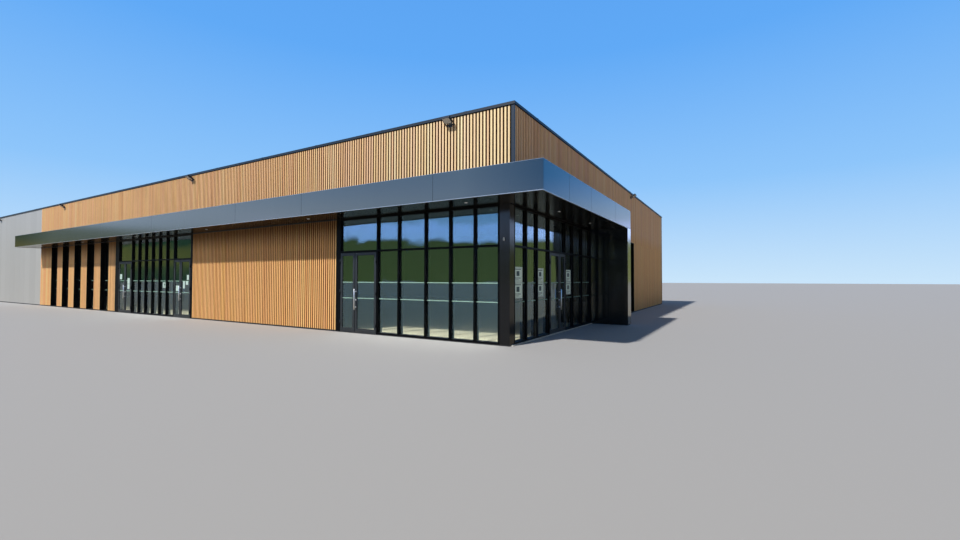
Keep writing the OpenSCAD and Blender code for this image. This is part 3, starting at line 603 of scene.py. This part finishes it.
def sweep(shape, profile, path, closed=False):
    """Adds to a bmesh a closed profile carried along a level path. Profile points are the distance
    to the left of the path and the height, and the corners are mitred"""
    stops = path[-1:] + path + path[:1] if closed else [None] + path + [None]
    rings = []
    for before, point, after in zip(stops, stops[1:], stops[2:]):
        steps = [(end - start).normalized() for start, end in ((before, point), (point, after))
                 if start is not None and end is not None]
        normals = [Vector((-step.y, step.x)) for step in steps]
        mitre = (normals[0] + normals[-1]) / (1 + normals[0].dot(normals[-1]))
        rings.append([shape.verts.new((*(point + mitre * out), height)) for out, height in profile])
    if closed:
        rings.append(rings[0])
    else:
        shape.faces.new(rings[0])
        shape.faces.new(rings[-1][::-1])
    bridge(shape, rings)
    return shape


anthracite = weathered("anthracite_sheet", paint(44, 51, 59), 0.36, 0.10, 0.08)
coping_coat = weathered("coping_coat", paint(30, 37, 43), 0.45, 0.10, 0.08)
coping_low, coping_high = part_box("parapet_coping")
coping_left = solids("parapet_coping")[0]
coping_width = (coping_left[1] - coping_left[0]).x
outer_path = [Vector((coping_low.x, coping_low.y)), Vector((coping_high.x, coping_low.y)),
              Vector((coping_high.x, coping_high.y)), Vector((coping_low.x, coping_high.y))]
foot, top = coping_low.z, coping_high.z
face, inner = rim + coping_kick, coping_width - rim
lip_top, inner_top = foot + 2 * coping_lip, top - coping_fall - rim
coping_profile = [(rim, foot), (rim, foot + coping_lip), (face, lip_top),
                  (face, top - rim - coping_fold), (face + coping_fold, top - rim),
                  (inner - coping_fold, inner_top), (inner, inner_top - coping_fold), (inner, foot)]
coping = carry("coping_sheet", sweep(bmesh.new(), coping_profile, outer_path, True),
               coping_coat)
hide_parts("parapet_coping")
strap_profile = [(face - strap_lift, lip_top), (face - strap_lift, top),
                 (coping_width, top - coping_fall), (coping_width, foot), (inner, foot),
                 (inner, inner_top), (face, top - rim), (face, lip_top)]
straps = bmesh.new()
for start, end in zip(outer_path, outer_path[1:] + outer_path[:1]):
    half = (end - start).normalized() * strap_width / 2
    count = round((end - start).length / strap_spacing)
    for i in range(count):
        middle = start + (end - start) * (i + 0.5) / count
        sweep(straps, strap_profile, [middle - half, middle + half])
carry("coping_straps", straps, coping_coat)


# Corner trims and base flashing. Folded anthracite angles close the corners of the cladding, and a
# black sheet stands between the cladding and the ground.
def dress(node, material, edge=0.0):
    """CAD node in its finish, with its edges eased"""
    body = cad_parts[node]
    body.data.materials.clear()
    body.data.materials.append(material)
    if edge:
        body.modifiers.new("weld", "WELD").merge_threshold = 1e-5
        ease = body.modifiers.new("eased_edges", "BEVEL")
        ease.width, ease.segments = edge, 2
        ease.limit_method, ease.angle_limit = "ANGLE", math.radians(40)


dress("corner_trims", anthracite, edge=0.002)
black_sheet = weathered("black_sheet", paint(30, 32, 34), 0.5, 0.15, 0.2)
dress("base_flashing", black_sheet, edge=0.001)


# Walls, floor and ceiling. Sandwich panels stand behind the cladding and show inside, on a
# power-floated concrete floor, under the dark underside of the roof's steel deck. The panels and
# the deck are painted dark as painted shade inside, and the floor pale as painted light where the
# key lamp shines in through the glass.
# Painted shade: the inside panels and the deck are painted darker, for the dim inside
wall_panel = weathered("wall_panel", paint(128, 128, 126), 0.6, 0.03, 0.05)
shaded_ceiling = weathered("shaded_ceiling", paint(54, 56, 58), 0.7, 0.0, 0.1)
# Painted light: the floor is painted pale for the lamp light that falls on it through the glass
concrete = weathered("concrete", paint(238, 236, 224), 0.35, 0.0, 0.12, patch_scale=0.9)
for node in ("front_wall_upper", "front_wall_left", "front_wall_centre", "window_piers",
             "left_wall", "back_wall", "right_wall_upper", "right_wall_rear"):
    dress(node, wall_panel)
dress("floor_slab", concrete)
dress("roof_deck", shaded_ceiling)


# Roof. Grey membrane in strips with welded laps, turned up the inner faces of the walls to the
# coping. Each strip has a tone of its own.
roof_sheet = 0.003
lap_width = 0.04
lap_spacing = 0.75
lap_height = roof_sheet * 0.7
lap_edge = 0.0009
strip_shades = (0.93, 1.05)
roof_skin = weathered("roof_skin", paint(142, 145, 147), 0.75, 0.0, 0.24, 1.1, 500, 0.001)
lap_skin = weathered("lap_skin", paint(112, 115, 117), 0.7, 0.0, 0.3, 6.0, 500, 0.001)
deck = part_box("roof_deck")
deck_low, deck_high = deck
skin_top = deck_high.z + roof_sheet
skin = [part(deck, {2: (deck_high.z, skin_top)})]
for axis in (0, 1):
    for ends in ((deck_low[axis], deck_low[axis] + roof_sheet),
                 (deck_high[axis] - roof_sheet, deck_high[axis])):
        skin.append(part(deck, {axis: ends, 2: (deck_high.z, coping_low.z)}))
strips = round((deck_high.x - deck_low.x) / lap_spacing)
strip_width = (deck_high.x - deck_low.x) / strips
lap = shrunk(part(deck, {2: (skin_top, skin_top + lap_height)}), roof_sheet, 1)
laps = [part(lap, {0: (x, x + lap_width)})
        for x in (deck_low.x + strip_width * i for i in range(1, strips))]
carry_boxes("roof_skin", skin, roof_skin)
carry_boxes("roof_laps", laps, lap_skin, edge=lap_edge)
from_end = maths("SUBTRACT", parts_in(roof_skin.node_tree)["X"], deck_low.x)
strip_number = maths("FLOOR", maths("DIVIDE", from_end, strip_width))
strip_tone = add(roof_skin.node_tree, "ShaderNodeTexWhiteNoise", noise_dimensions="1D")
give(strip_tone, {"W": strip_number})
shade_by(roof_skin, strip_tone.outputs["Value"], *strip_shades)


# Canopy. Wide anthracite cassettes with open joints run along the front and round the corner,
# painted darker near the corner and towards the left end as painted reflection, with a pale folded
# drip at their foot and a pale cap on top, partly a painted highlight along the edges. The soffit
# is a row of glossy dark panels that ends at the slats in a dark strip, painted shade for the
# shadow gap there, and a flat sheet with standing seams covers the top.
drip_height = 0.007
drip_depth = 0.016
cap_height = 0.003
cap_depth = 0.015
cap_return = 0.004
cap_sheet = 0.0022
fold_out = 0.0004
fold_radius = 0.001
panel_width = 0.75
panel_joint = 0.003
# The dark strip where the soffit meets the slats is painted shade for the shadow gap there
soffit_shadow_height = 0.014
soffit_shadow_out = 0.004
soffit_shadow_depth = 0.002
seam_spacing = 0.60
seam_width = 0.008
seam_height = 0.0045
apron_out = 0.0012
apron_height = 0.035
apron_drop = 0.005
# Painted reflection: the cassettes are painted darker within about a metre of the corner and
# towards the left end, for the dark reflections there
corner_painted_shade, corner_painted_shade_reach = 0.28, 1.05
end_painted_shade, end_painted_shade_span = 0.30, (-4.4, -1.9)
fascia_low, fascia_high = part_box("canopy_fascia")
fascia_sheet = weathered("fascia_sheet", paint(75, 81, 80), 0.11, 0.05, 0.08, patch_scale=0.35,
                         grain_depth=0.0001, given={"IOR": 2.0})
fascia_tree = fascia_sheet.node_tree
from_corner = add(fascia_tree, "ShaderNodeMapping", {
    "Vector": place_in(fascia_tree), "Location": (-fascia_high.x, -fascia_low.y, 0),
    "Scale": (1, 1, 0)})
corner_distance = maths("LENGTH", from_corner, kind="ShaderNodeVectorMath").outputs["Value"]
shade_by(fascia_sheet, corner_distance, corner_painted_shade, 1.0, 0.0, corner_painted_shade_reach)
shade_by(fascia_sheet, parts_in(fascia_tree)["X"], end_painted_shade, 1.0, *end_painted_shade_span)
# The drip and cap are folded trims painted pale, partly as a painted highlight along the cassettes'
# edges
pale_fold = weathered("pale_fold", paint(198, 202, 206), 0.32, 0.05, 0.05, given={"Metallic": 0.7})
soffit_sheet = weathered("soffit_sheet", paint(24, 23, 21), 0.18, 0.0, 0.15)
core_metal = weathered("canopy_core", paint(20, 21, 22), 0.7, 0.1, 0.2)
canopy_top = weathered("canopy_top", paint(118, 122, 125), 0.6, 0.0, 0.2)
dress("canopy_fascia", fascia_sheet, edge=0.0035)
dress("canopy_core", core_metal)
dress("canopy_roof_sheet", canopy_top)
wall_low, wall_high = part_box("front_wall_upper")
fold_path = [Vector((fascia_low.x, wall_low.y)), Vector((fascia_low.x, fascia_low.y)),
             Vector((fascia_high.x, fascia_low.y))]
foot, drip_foot = fascia_low.z, fascia_low.z - drip_height
drip_profile = [(fold_out, foot), (fold_out, drip_foot + fold_radius),
                (fold_out + fold_radius, drip_foot), (drip_depth - fold_radius, drip_foot),
                (drip_depth, drip_foot + fold_radius), (drip_depth, foot)]
drip_path = fold_path + [Vector((fascia_high.x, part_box("return_wall_panels")[0].y))]
carry("fascia_drip", sweep(bmesh.new(), drip_profile, drip_path), pale_fold)
top, cap_top = fascia_high.z, fascia_high.z + cap_height
cap_profile = [(fold_out, top), (fold_out, cap_top - fold_radius),
               (fold_out + fold_radius, cap_top), (cap_depth, cap_top),
               (cap_depth, top - cap_return), (cap_depth - cap_sheet, top - cap_return),
               (cap_depth - cap_sheet, top)]
cap_path = fold_path + [Vector((fascia_high.x, fascia_high.y)),
                        Vector((wall_high.x, fascia_high.y))]
carry("fascia_cap", sweep(bmesh.new(), cap_profile, cap_path), pale_fold)


def wall_of(box):
    """Wall that a box goes along, from its longer side"""
    return "front" if (box[1] - box[0]).x > (box[1] - box[0]).y else "right"


def stations(box, pitch):
    """Axis along a box, and the places that part it evenly at about a pitch, with both its ends"""
    along = walls[wall_of(box)][0]
    run = (box[1] - box[0])[along]
    count = round(run / pitch)
    return along, [box[0][along] + run * i / count for i in range(count + 1)]


panels = []
for box in solids("canopy_soffit"):
    along, joints = stations(box, panel_width)
    panels += [shrunk(part(box, {along: ends}), panel_joint / 2, along)
               for ends in zip(joints, joints[1:])]
soffit = carry_boxes("soffit_panels", panels, soffit_sheet, edge=0.001)
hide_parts("canopy_soffit")
# Painted shade: a dark strip under the soffit stands for the shadow gap at the top of the slats
soffit_shadow_strips = [layer(box, "front", -soffit_shadow_out, soffit_shadow_depth,
                  {2: (box[1].z - soffit_shadow_height, box[1].z)})
            for node in ("front_slats_centre", "front_slats_piers") for box in solids(node)]
carry_boxes("soffit_shadow_strip", soffit_shadow_strips, black_sheet, edge=0.001)
seams = []
for box in solids("canopy_roof_sheet"):
    along, joints = stations(box, seam_spacing)
    seams += [part(box, {along: (joint - seam_width / 2, joint + seam_width / 2),
                         2: (box[1].z, box[1].z + seam_height)}) for joint in joints[1:-1]]
carry_boxes("canopy_seams", seams, canopy_top, edge=0.0015)
apron_foot = fascia_high.z - apron_drop
apron = [layer(solids(node)[0], wall, -apron_out, 0, {2: (apron_foot, apron_foot + apron_height)})
         for node, wall in (("front_slats_upper", "front"), ("right_slats_upper", "right"))]
carry_boxes("canopy_apron", apron, anthracite, edge=fine_edge)


# Return wall. The same cassettes fold down at the far end of the canopy and stand on the ground on
# a steel frame, painted darker as painted shade for the shaded porch. Their outer edge is pale bare
# metal, partly a painted reflection.
edge_depth = 0.002
# Painted shade: the cassettes here are painted darker than the canopy's, for the shade of the porch
shaded_porch_sheet = weathered("shaded_porch_sheet", paint(14, 22, 30), 0.13, 0.05, 0.08, patch_scale=0.35,
                        grain_depth=0.0001, given={"IOR": 1.7})
porch_shader = shader_of(shaded_porch_sheet)
porch_colour = porch_shader.inputs["Base Color"].links[0].from_socket
# The pale bare-metal edge is partly a painted reflection
bare_metal_and_reflection = maths("GREATER_THAN", parts_in(shaded_porch_sheet.node_tree)["X"], fascia_high.x - edge_depth)
give(porch_shader, {"Metallic": maths("MULTIPLY", bare_metal_and_reflection, 0.85),
                    "Base Color": blend(bare_metal_and_reflection, porch_colour, paint(196, 202, 208))})
dress("return_wall", core_metal)
dress("return_wall_panels", shaded_porch_sheet, edge=0.0025)


# Downlights. A pale lens that glows faintly, in a turned dark rim, flush under the soffit.
rim_width = 0.006
rim_height = 0.0035
rim_play = 0.0002
lens_light = weathered("downlight_lens", (0.92, 0.92, 0.88, 1), 0.3, 0.0, 0.1, patch_scale=30,
                       given={"Emission Color": (1, 0.98, 0.94, 1), "Emission Strength": 0.2})
dress("downlights", lens_light)
lamp_body = weathered("lamp_body", paint(42, 45, 48), 0.45, 0.0, 0.1)


def turn(shape, profile, place, direction, sides=24):
    """Adds a turned solid to a bmesh. Profile points are the radius and the distance along the
    direction, and a profile that starts off the axis closes on itself"""
    across = direction.to_track_quat("Z", "Y").to_matrix()
    rings = []
    for radius, out in profile:
        angles = [2 * math.pi * i / sides for i in range(sides)] if radius else [0]
        rings.append([shape.verts.new(place + across @ Vector(
            (radius * math.cos(angle), radius * math.sin(angle), out))) for angle in angles])
    if profile[0][0]:
        rings.append(rings[0])
    bridge(shape, rings)


rims = bmesh.new()
for low, high in solids("downlights"):
    middle, radius = (low + high) / 2, (high - low).x / 2
    middle.z = high.z
    inner, outer = radius + rim_play, radius + rim_width
    turn(rims, [(inner, 0), (inner, rim_height - 0.001), (inner + 0.001, rim_height),
                (outer - 0.001, rim_height - 0.0015), (outer, 0)], middle, Vector((0, 0, -1)), 32)
carry("downlight_rims", rims, lamp_body)


# Corner post. A boxed steel post clad in glossy black sheet, with a small pale sensor on its front.
sensor_size = Vector((0.024, 0.014, 0.042))
sensor_left = 0.0665
sensor_foot = 1.342
sensor_lens = [(0, 0.003), (0.004, 0.0025), (0.007, 0), (0.007, -0.002), (0, -0.002)]
gloss_black = weathered("gloss_black", paint(11, 15, 22), 0.14, 0.05, 0.1)
dress("corner_post", gloss_black, edge=0.002)
post_low, post_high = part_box("corner_post")
sensor_shell = weathered("sensor_shell", paint(196, 200, 202), 0.45, 0.0, 0.03)
sensor_low = Vector((post_high.x - sensor_left - sensor_size.x, post_low.y - sensor_size.y,
                     sensor_foot))
sensor = add_boxes(bmesh.new(), [(sensor_low, sensor_low + sensor_size)], edge=0.003, segments=3)
turn(sensor, sensor_lens, sensor_low + Vector((sensor_size.x / 2, 0, sensor_size.z / 3)),
     Vector((0, -1, 0)), 20)
carry("post_sensor", sensor, sensor_shell)


# Screens and windows. Black aluminium bars with eased caps hold the glass, and a mitred wedge of
# black rubber seals each pane to its bars outside and inside.
pane_bite = 0.007
lintel_thickness = 0.002
lintel_bearing = 0.035
lintel_play = 0.001
gasket_width = 0.0035
gasket_nose = 0.00245
gasket_depth = 0.0042
bar_edge = 0.0012
black_frame = weathered("black_frame", paint(9, 10, 12), 0.42, 0.04, 0.1,
                        given={"Specular IOR Level": 0.08})
gasket = weathered("gasket", paint(12, 12, 13), 0.75, 0.1, 0.2)
for node in ("corner_front_frame", "corner_side_frame", "middle_frame", "window_frames"):
    dress(node, black_frame, bar_edge)
side_wall_low, side_wall_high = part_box("right_wall_upper")
side_frame_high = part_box("corner_side_frame")[1]
lintel = (Vector((side_frame_high.x - lintel_bearing, wall_low.y,
                  side_wall_low.z - lintel_thickness)),
          Vector((side_wall_high.x + lintel_play, side_frame_high.y - lintel_play,
                  side_wall_low.z)))
carry_boxes("screen_lintel", [lintel], black_frame, edge=0.0005)


def seal(shape, box, wall, profile):
    """Adds to a bmesh a mitred ring round the inside of a pane's opening. Profile points are the
    distance in from the opening's edge and the depth behind the pane's outer face"""
    along, across, side, _ = walls[wall]
    rings = []
    for right, up in ((0, 0), (1, 0), (1, 1), (0, 1)):
        ring = []
        for inset, depth in profile:
            spot = Vector((0, 0, box[up].z + (-inset if up else inset)))
            spot[along] = box[right][along] + (-inset if right else inset)
            spot[across] = box[side][across] + (-depth if side else depth)
            ring.append(shape.verts.new(spot))
        rings.append(ring)
    bridge(shape, rings + rings[:1])


def opening(box, wall):
    """Part of a pane that shows between its bars"""
    return shrunk(box, pane_bite, walls[wall][0], 2)


def gaskets(panes, wall=None):
    """The rubber wedges outside and inside each pane"""
    shape = bmesh.new()
    for pane in panes:
        pane_wall = wall or wall_of(pane)
        back = (pane[1] - pane[0])[walls[pane_wall][1]]
        for face, out in ((0, -gasket_depth), (back, back + gasket_depth)):
            seal(shape, opening(pane, pane_wall), pane_wall, [
                (0, face), (gasket_width, face), (gasket_nose, out), (0, out)])
    return shape


glazing = ("corner_front_glass", "corner_side_glass", "middle_glass", "window_glass")
for node in glazing:
    carry(node.replace("glass", "gaskets"), gaskets(solids(node)), gasket)


# Glass. Solar control glass, faintly green and barely wavy, with a bright reflection. Lamp light
# passes through it to the floor behind. Two frosted bands of film cross every pane at a height
# where people see them.
glass_tint = (0.90, 0.97, 0.92, 1)
band_foots = (0.543, 0.793)
band_height = 0.014
band_thickness = 0.0003


def glass_material(name, tint):
    """Tinted glass with a blue reflection, which lets the lamps' light through"""
    material = new_material(name, tint, 0.0, {
        "Transmission Weight": 1.0, "IOR": 2.5, "Specular Tint": (0.40, 0.72, 1.0, 1)})
    tree, shader = material.node_tree, shader_of(material)
    give(shader, {"Normal": relief(noise(place_in(tree), 2.6, 1), 1.0, 0.0012)})
    clear = add(tree, "ShaderNodeBsdfTransparent", {"Color": [value ** 0.5 for value in tint]})
    is_shadow = add(tree, "ShaderNodeLightPath").outputs["Is Shadow Ray"]
    give(tree.nodes["Material Output"], {"Surface": add(tree, "ShaderNodeMixShader", {
        "Fac": is_shadow, 1: shader, 2: clear})})
    return material


screen_glass = glass_material("screen_glass", glass_tint)
door_glass = glass_material("door_glass", glass_tint)
film = new_material("frosted_film", paint(176, 214, 198), 0.6)
film_cloud = noise(place_in(film.node_tree), 700, 2)
give(shader_of(film), {"Alpha": span(film_cloud, 0, 1, 0.30, 0.62)})


def bands(box, wall):
    """Boxes of the film bands that cross a pane's outer face"""
    low, high = box = opening(box, wall)
    strip = shrunk(layer(box, wall, -band_thickness, 0), gasket_width, walls[wall][0])
    return [part(strip, {2: (foot, foot + band_height)}) for foot in band_foots
            if low.z < foot and high.z > foot + band_height]


for node in glazing:
    dress(node, screen_glass)
    carry_boxes(node.replace("glass", "film_bands"),
                [band for pane in solids(node) for band in bands(pane, wall_of(pane))], film)


# Posters and notices. Pale cards hang in pairs on the side screen's glass, each printed with a rule
# round its edge, a plain heading bar, a block and thin lines. Small cards are taped to the doors,
# in a darker copy of the card paper that is painted shade.
card_thickness = 0.0012
card_gap = 0.0006
rule_inset = 0.012
rule_width = 0.003
rule_thickness = 0.0002
# Left, right, foot and head of each printed form, as shares of its card
printed_shares = [(0.16, 0.84, 0.82, 0.87), (0.34, 0.66, 0.40, 0.72), (0.20, 0.80, 0.27, 0.295),
                  (0.20, 0.80, 0.20, 0.225), (0.20, 0.58, 0.13, 0.155)]
# Places are counted from the corner of the walls, which lies a little outside the post
corner_out = 0.065
poster_spans = [(0.165, 0.435), (0.925, 1.175), (2.135, 2.390)]
poster_heights = [(0.600, 0.810), (0.815, 1.015)]
notice_place = (-8.970, -8.805, 0.645, 0.770)
card_grain = {"patch_scale": 9, "grain_scale": 1500}
card = weathered("card", paint(238, 255, 236), 0.55, 0.0, 0.06, **card_grain)
# Painted shade: the notices are a darker copy of the card paper
shaded_notice_card = weathered("shaded_notice_card", paint(188, 213, 205), 0.55, 0.0, 0.06, **card_grain)
printed = weathered("card_ink", paint(70, 88, 80), 0.6, 0.0, 0.1, **card_grain)
corner = {"front": post_high.x + corner_out, "right": post_low.y}


def hung_card(pane, wall, near, far, foot, head):
    """Box of a card that hangs on the outer face of a pane, between two places from the corner"""
    return layer(pane, wall, -card_gap - card_thickness, -card_gap, {
        walls[wall][0]: (corner[wall] + near, corner[wall] + far), 2: (foot, head)})


def print_on(box, wall):
    """Boxes of the rule, bar, block and lines printed on a card"""
    along = walls[wall][0]
    low, size = box[0], box[1] - box[0]
    face = layer(box, wall, -rule_thickness, 0)
    rule = shrunk(face, rule_inset, along, 2)
    made = []
    for axis in (along, 2):
        near, far = rule[0][axis], rule[1][axis]
        made += [part(rule, {axis: ends}) for ends in ((near, near + rule_width),
                                                       (far - rule_width, far))]
        rule = shrunk(rule, rule_width, axis)
    for left, right, foot, head in printed_shares:
        made.append(part(face, {
            along: (low[along] + size[along] * left, low[along] + size[along] * right),
            2: (low.z + size.z * foot, low.z + size.z * head)}))
    return made


cards = [hung_card(solids("corner_side_glass")[0], "right", *ends, *heights)
         for ends in poster_spans for heights in poster_heights]
notice = hung_card(solids("middle_glass")[0], "front", *notice_place)
carry_boxes("cards", cards, card, edge=fine_edge)
carry_boxes("window_notice", [notice], shaded_notice_card, edge=fine_edge)
prints = [form for box in cards for form in print_on(box, "right")] + print_on(notice, "front")
carry_boxes("card_prints", prints, printed)


# Doors. Each leaf is a frame of dark grey aluminium tubes round its pane, with rubber wedges at
# the glass, a brush strip at the meeting edge and its own film bands. One leaf of each door has a
# stainless pull handle on turned roses, and each doorway has a ribbed aluminium threshold.
stile_width = 0.042
pane_depth = 0.009
leaf_thickness = 0.026
leaf_foot = 0.018
leaf_head = 1.264
brush_out = 0.003
brush_depths = (0.009, 0.017)
brush_inset = 0.004
brush_edge = 0.0008
handle_inset = 0.0003
handle_edge = 0.0012
rose_radius = 0.011
rose_depth = 0.003
rose_edge = 0.0008
rose_shares = (0.125, 0.875)
lock_height = 0.525
lock_profile = [(0, 0.0003), (0.0125, 0.0003), (0.0125, 0.0020), (0.0115, 0.0030),
                (0.0085, 0.0030), (0.0085, 0.0018), (0, 0.0018)]
threshold_near = 0.004
threshold_far = 0.060
threshold_foot = 0.0122
threshold_edge = 0.0135
threshold_top = 0.0165
threshold_overrun = 0.005
rib_pitch = 0.004
rib_depth = 0.0015
door_notices = {
    "left_door_left": [(-11.135, -11.005, 0.835, 0.965)],
    "left_door_right": [(-10.700, -10.585, 0.725, 0.865), (-10.700, -10.585, 0.595, 0.715)],
    "middle_door_left": [(-8.335, -8.190, 0.580, 0.700)],
    "middle_door_right": [(-8.035, -7.960, 0.640, 0.795), (-7.920, -7.820, 0.720, 0.800),
                          (-7.880, -7.800, 0.825, 0.933)]}
door_frame = weathered("door_frame", paint(40, 45, 49), 0.4, 0.04, 0.08)
brush_pile = weathered("brush_pile", paint(24, 24, 25), 0.95, 0.0, 0.3, grain_scale=2500,
                       grain_depth=0.001)
steel = weathered("handle_steel", paint(240, 240, 238), 0.42, 0.0, 0.04, given={"Metallic": 0.75})
mill_finish = weathered("mill_finish", paint(168, 170, 172), 0.35, 0.0, 0.08,
                        given={"Metallic": 1.0})


def pull_handle(handle, leaf, wall):
    """A pull handle where its CAD node is: a bar on two roses, and a lock on the leaf"""
    along, across, side, _ = walls[wall]
    size = handle[1] - handle[0]
    radius, length = size[along] / 2, size.z
    outwards = Vector((0, 0, 0))
    outwards[across] = 1 if side else -1
    reach = size[across] + handle_inset - radius
    arm_end = reach - radius * 0.6
    on_leaf = (handle[0] + handle[1]) / 2
    on_leaf[across], on_leaf.z = leaf[side][across], handle[0].z
    foot = on_leaf + outwards * reach
    shape = bmesh.new()
    turn(shape, [(0, 0), (radius - handle_edge, 0), (radius, handle_edge),
                 (radius, length - handle_edge), (radius - handle_edge, length), (0, length)],
         foot, Vector((0, 0, 1)), 28)
    for share in rose_shares:
        on_leaf.z = foot.z + length * share
        turn(shape, [(0, handle_inset), (rose_radius, handle_inset),
                     (rose_radius, rose_depth - rose_edge), (rose_radius - rose_edge, rose_depth),
                     (radius / 2, rose_depth), (radius / 2, arm_end), (0, arm_end)],
             on_leaf, outwards)
    on_leaf.z = lock_height
    turn(shape, lock_profile, on_leaf, outwards)
    return shape


thresholds = bmesh.new()
for door, wall in (("front_door", "front"), ("middle_door", "front"), ("left_door", "front"),
                   ("side_door", "right")):
    along, across, side, _ = walls[wall]
    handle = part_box(door + "_handle")
    handle_place = (handle[0][along] + handle[1][along]) / 2
    door_ends = []
    for leaf_side in ("left", "right"):
        body = f"{door}_{leaf_side}"
        dress(body + "_frame", door_frame, bar_edge)
        dress(body + "_glass", door_glass)
        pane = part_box(body + "_glass")
        carry(body + "_gaskets", gaskets([pane], wall), gasket, body)
        carry_boxes(body + "_film_bands", bands(pane, wall), film, body)
        leaf = shrunk(pane, pane_bite - stile_width, along)
        leaf = layer(leaf, wall, -pane_depth, leaf_thickness - pane_depth,
                     {2: (leaf_foot, leaf_head)})
        near, far = leaf[0][along], leaf[1][along]
        door_ends += [near, far]
        meeting = (far, far + brush_out) if leaf_side == "left" else (near - brush_out, near)
        brush = layer(leaf, wall, *brush_depths, {
            along: meeting, 2: (leaf_foot + brush_inset, leaf_head - brush_inset)})
        carry_boxes(body + "_brush", [brush], brush_pile, body, brush_edge)
        held = [hung_card(pane, wall, *place) for place in door_notices.get(body, [])]
        if held:
            carry_boxes(body + "_notices", held, shaded_notice_card, body, fine_edge)
        if near < handle_place < far:
            pull = carry(door + "_pull", pull_handle(handle, leaf, wall), steel,
                         body, True)
            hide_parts(door + "_handle")
    ends = [Vector((0, 0)), Vector((0, 0))]
    ends[0][along] = min(door_ends) - threshold_overrun
    ends[1][along] = max(door_ends) + threshold_overrun
    ends[0][across] = ends[1][across] = leaf[side][across]
    ribs = [(threshold_near + rib_pitch * i, threshold_top - (rib_depth if i % 2 else 0))
            for i in range(2, 11)]
    sweep(thresholds, [(threshold_near, threshold_foot), (threshold_near, threshold_edge), *ribs,
                       (threshold_far, threshold_edge), (threshold_far, threshold_foot)], ends)
carry("thresholds", thresholds, mill_finish)


# Floodlights. Cast black heads with fins behind, on steel yokes. Pale prismatic glass lies in each
# head's recess under a screwed rim, and a knurled knob clamps the head at each pin.
head_width, head_depth, head_height = 0.125, 0.040, 0.104
head_tilt = math.radians(60)
head_rim = 0.007
head_recess = 0.004
lens_thickness = 0.003
lens_play = 0.0005
lens_gap = 0.0002
lens_edge = 0.0008
knob_radius = 0.009
knob_depth = 0.007
knob_sides = 24
pin_drop = head_height / 6
arm_thickness = 0.005
arm_gap = 0.004
screw_radius = 0.0022
knob_profile = [(0, 0.0002), (knob_radius, 0.0002), (knob_radius, knob_depth - 0.001),
                (knob_radius - 0.001, knob_depth), (0, knob_depth)]
screw_profile = [(0, -0.0003), (screw_radius, -0.0003), (screw_radius, 0.0006),
                 (screw_radius * 0.7, 0.0012), (0, 0.0012)]
dress("floodlights", lamp_body, edge=0.0012)
flood_glass = weathered("floodlight_glass", paint(186, 182, 174), 0.18, 0.0, 0.08, patch_scale=30,
                        grain_scale=600, grain_depth=0.0012)
half_lens = Vector((head_width / 2 - head_rim - lens_play, lens_thickness / 2,
                    head_height / 2 - head_rim - lens_play))
lens_middle = Vector((0, -head_depth / 2 + head_recess - lens_thickness / 2 - lens_gap, 0))
lenses, screws, knobs = bmesh.new(), bmesh.new(), bmesh.new()
for low, high in solids("floodlights"):
    wall = "front" if abs((high - low).x - head_width) < 1e-3 else "right"
    if abs((high - low)[walls[wall][0]] - head_width) > 1e-3:
        continue
    turned = Matrix.Rotation(math.radians(walls[wall][3]), 4, "Z") @ Matrix.Rotation(
        head_tilt, 4, "X")
    stand = Matrix.Translation((low + high) / 2) @ turned
    add_boxes(lenses, [(lens_middle - half_lens, lens_middle + half_lens)], lens_edge, 1, stand)
    for across in (-1, 1):
        pin = stand @ Vector((across * (head_width / 2 + arm_gap + arm_thickness), 0, pin_drop))
        turn(knobs, knob_profile, pin, turned.to_3x3() @ Vector((across, 0, 0)), knob_sides)
        for up in (-1, 1):
            spot = stand @ Vector((across * (head_width - head_rim) / 2, -head_depth / 2,
                                   up * (head_height - head_rim) / 2))
            turn(screws, screw_profile, spot, turned.to_3x3() @ Vector((0, -1, 0)), 12)
carry("floodlight_lenses", lenses, flood_glass)
carry("floodlight_screws", screws, lamp_body)
carry("floodlight_knobs", knobs, lamp_body)
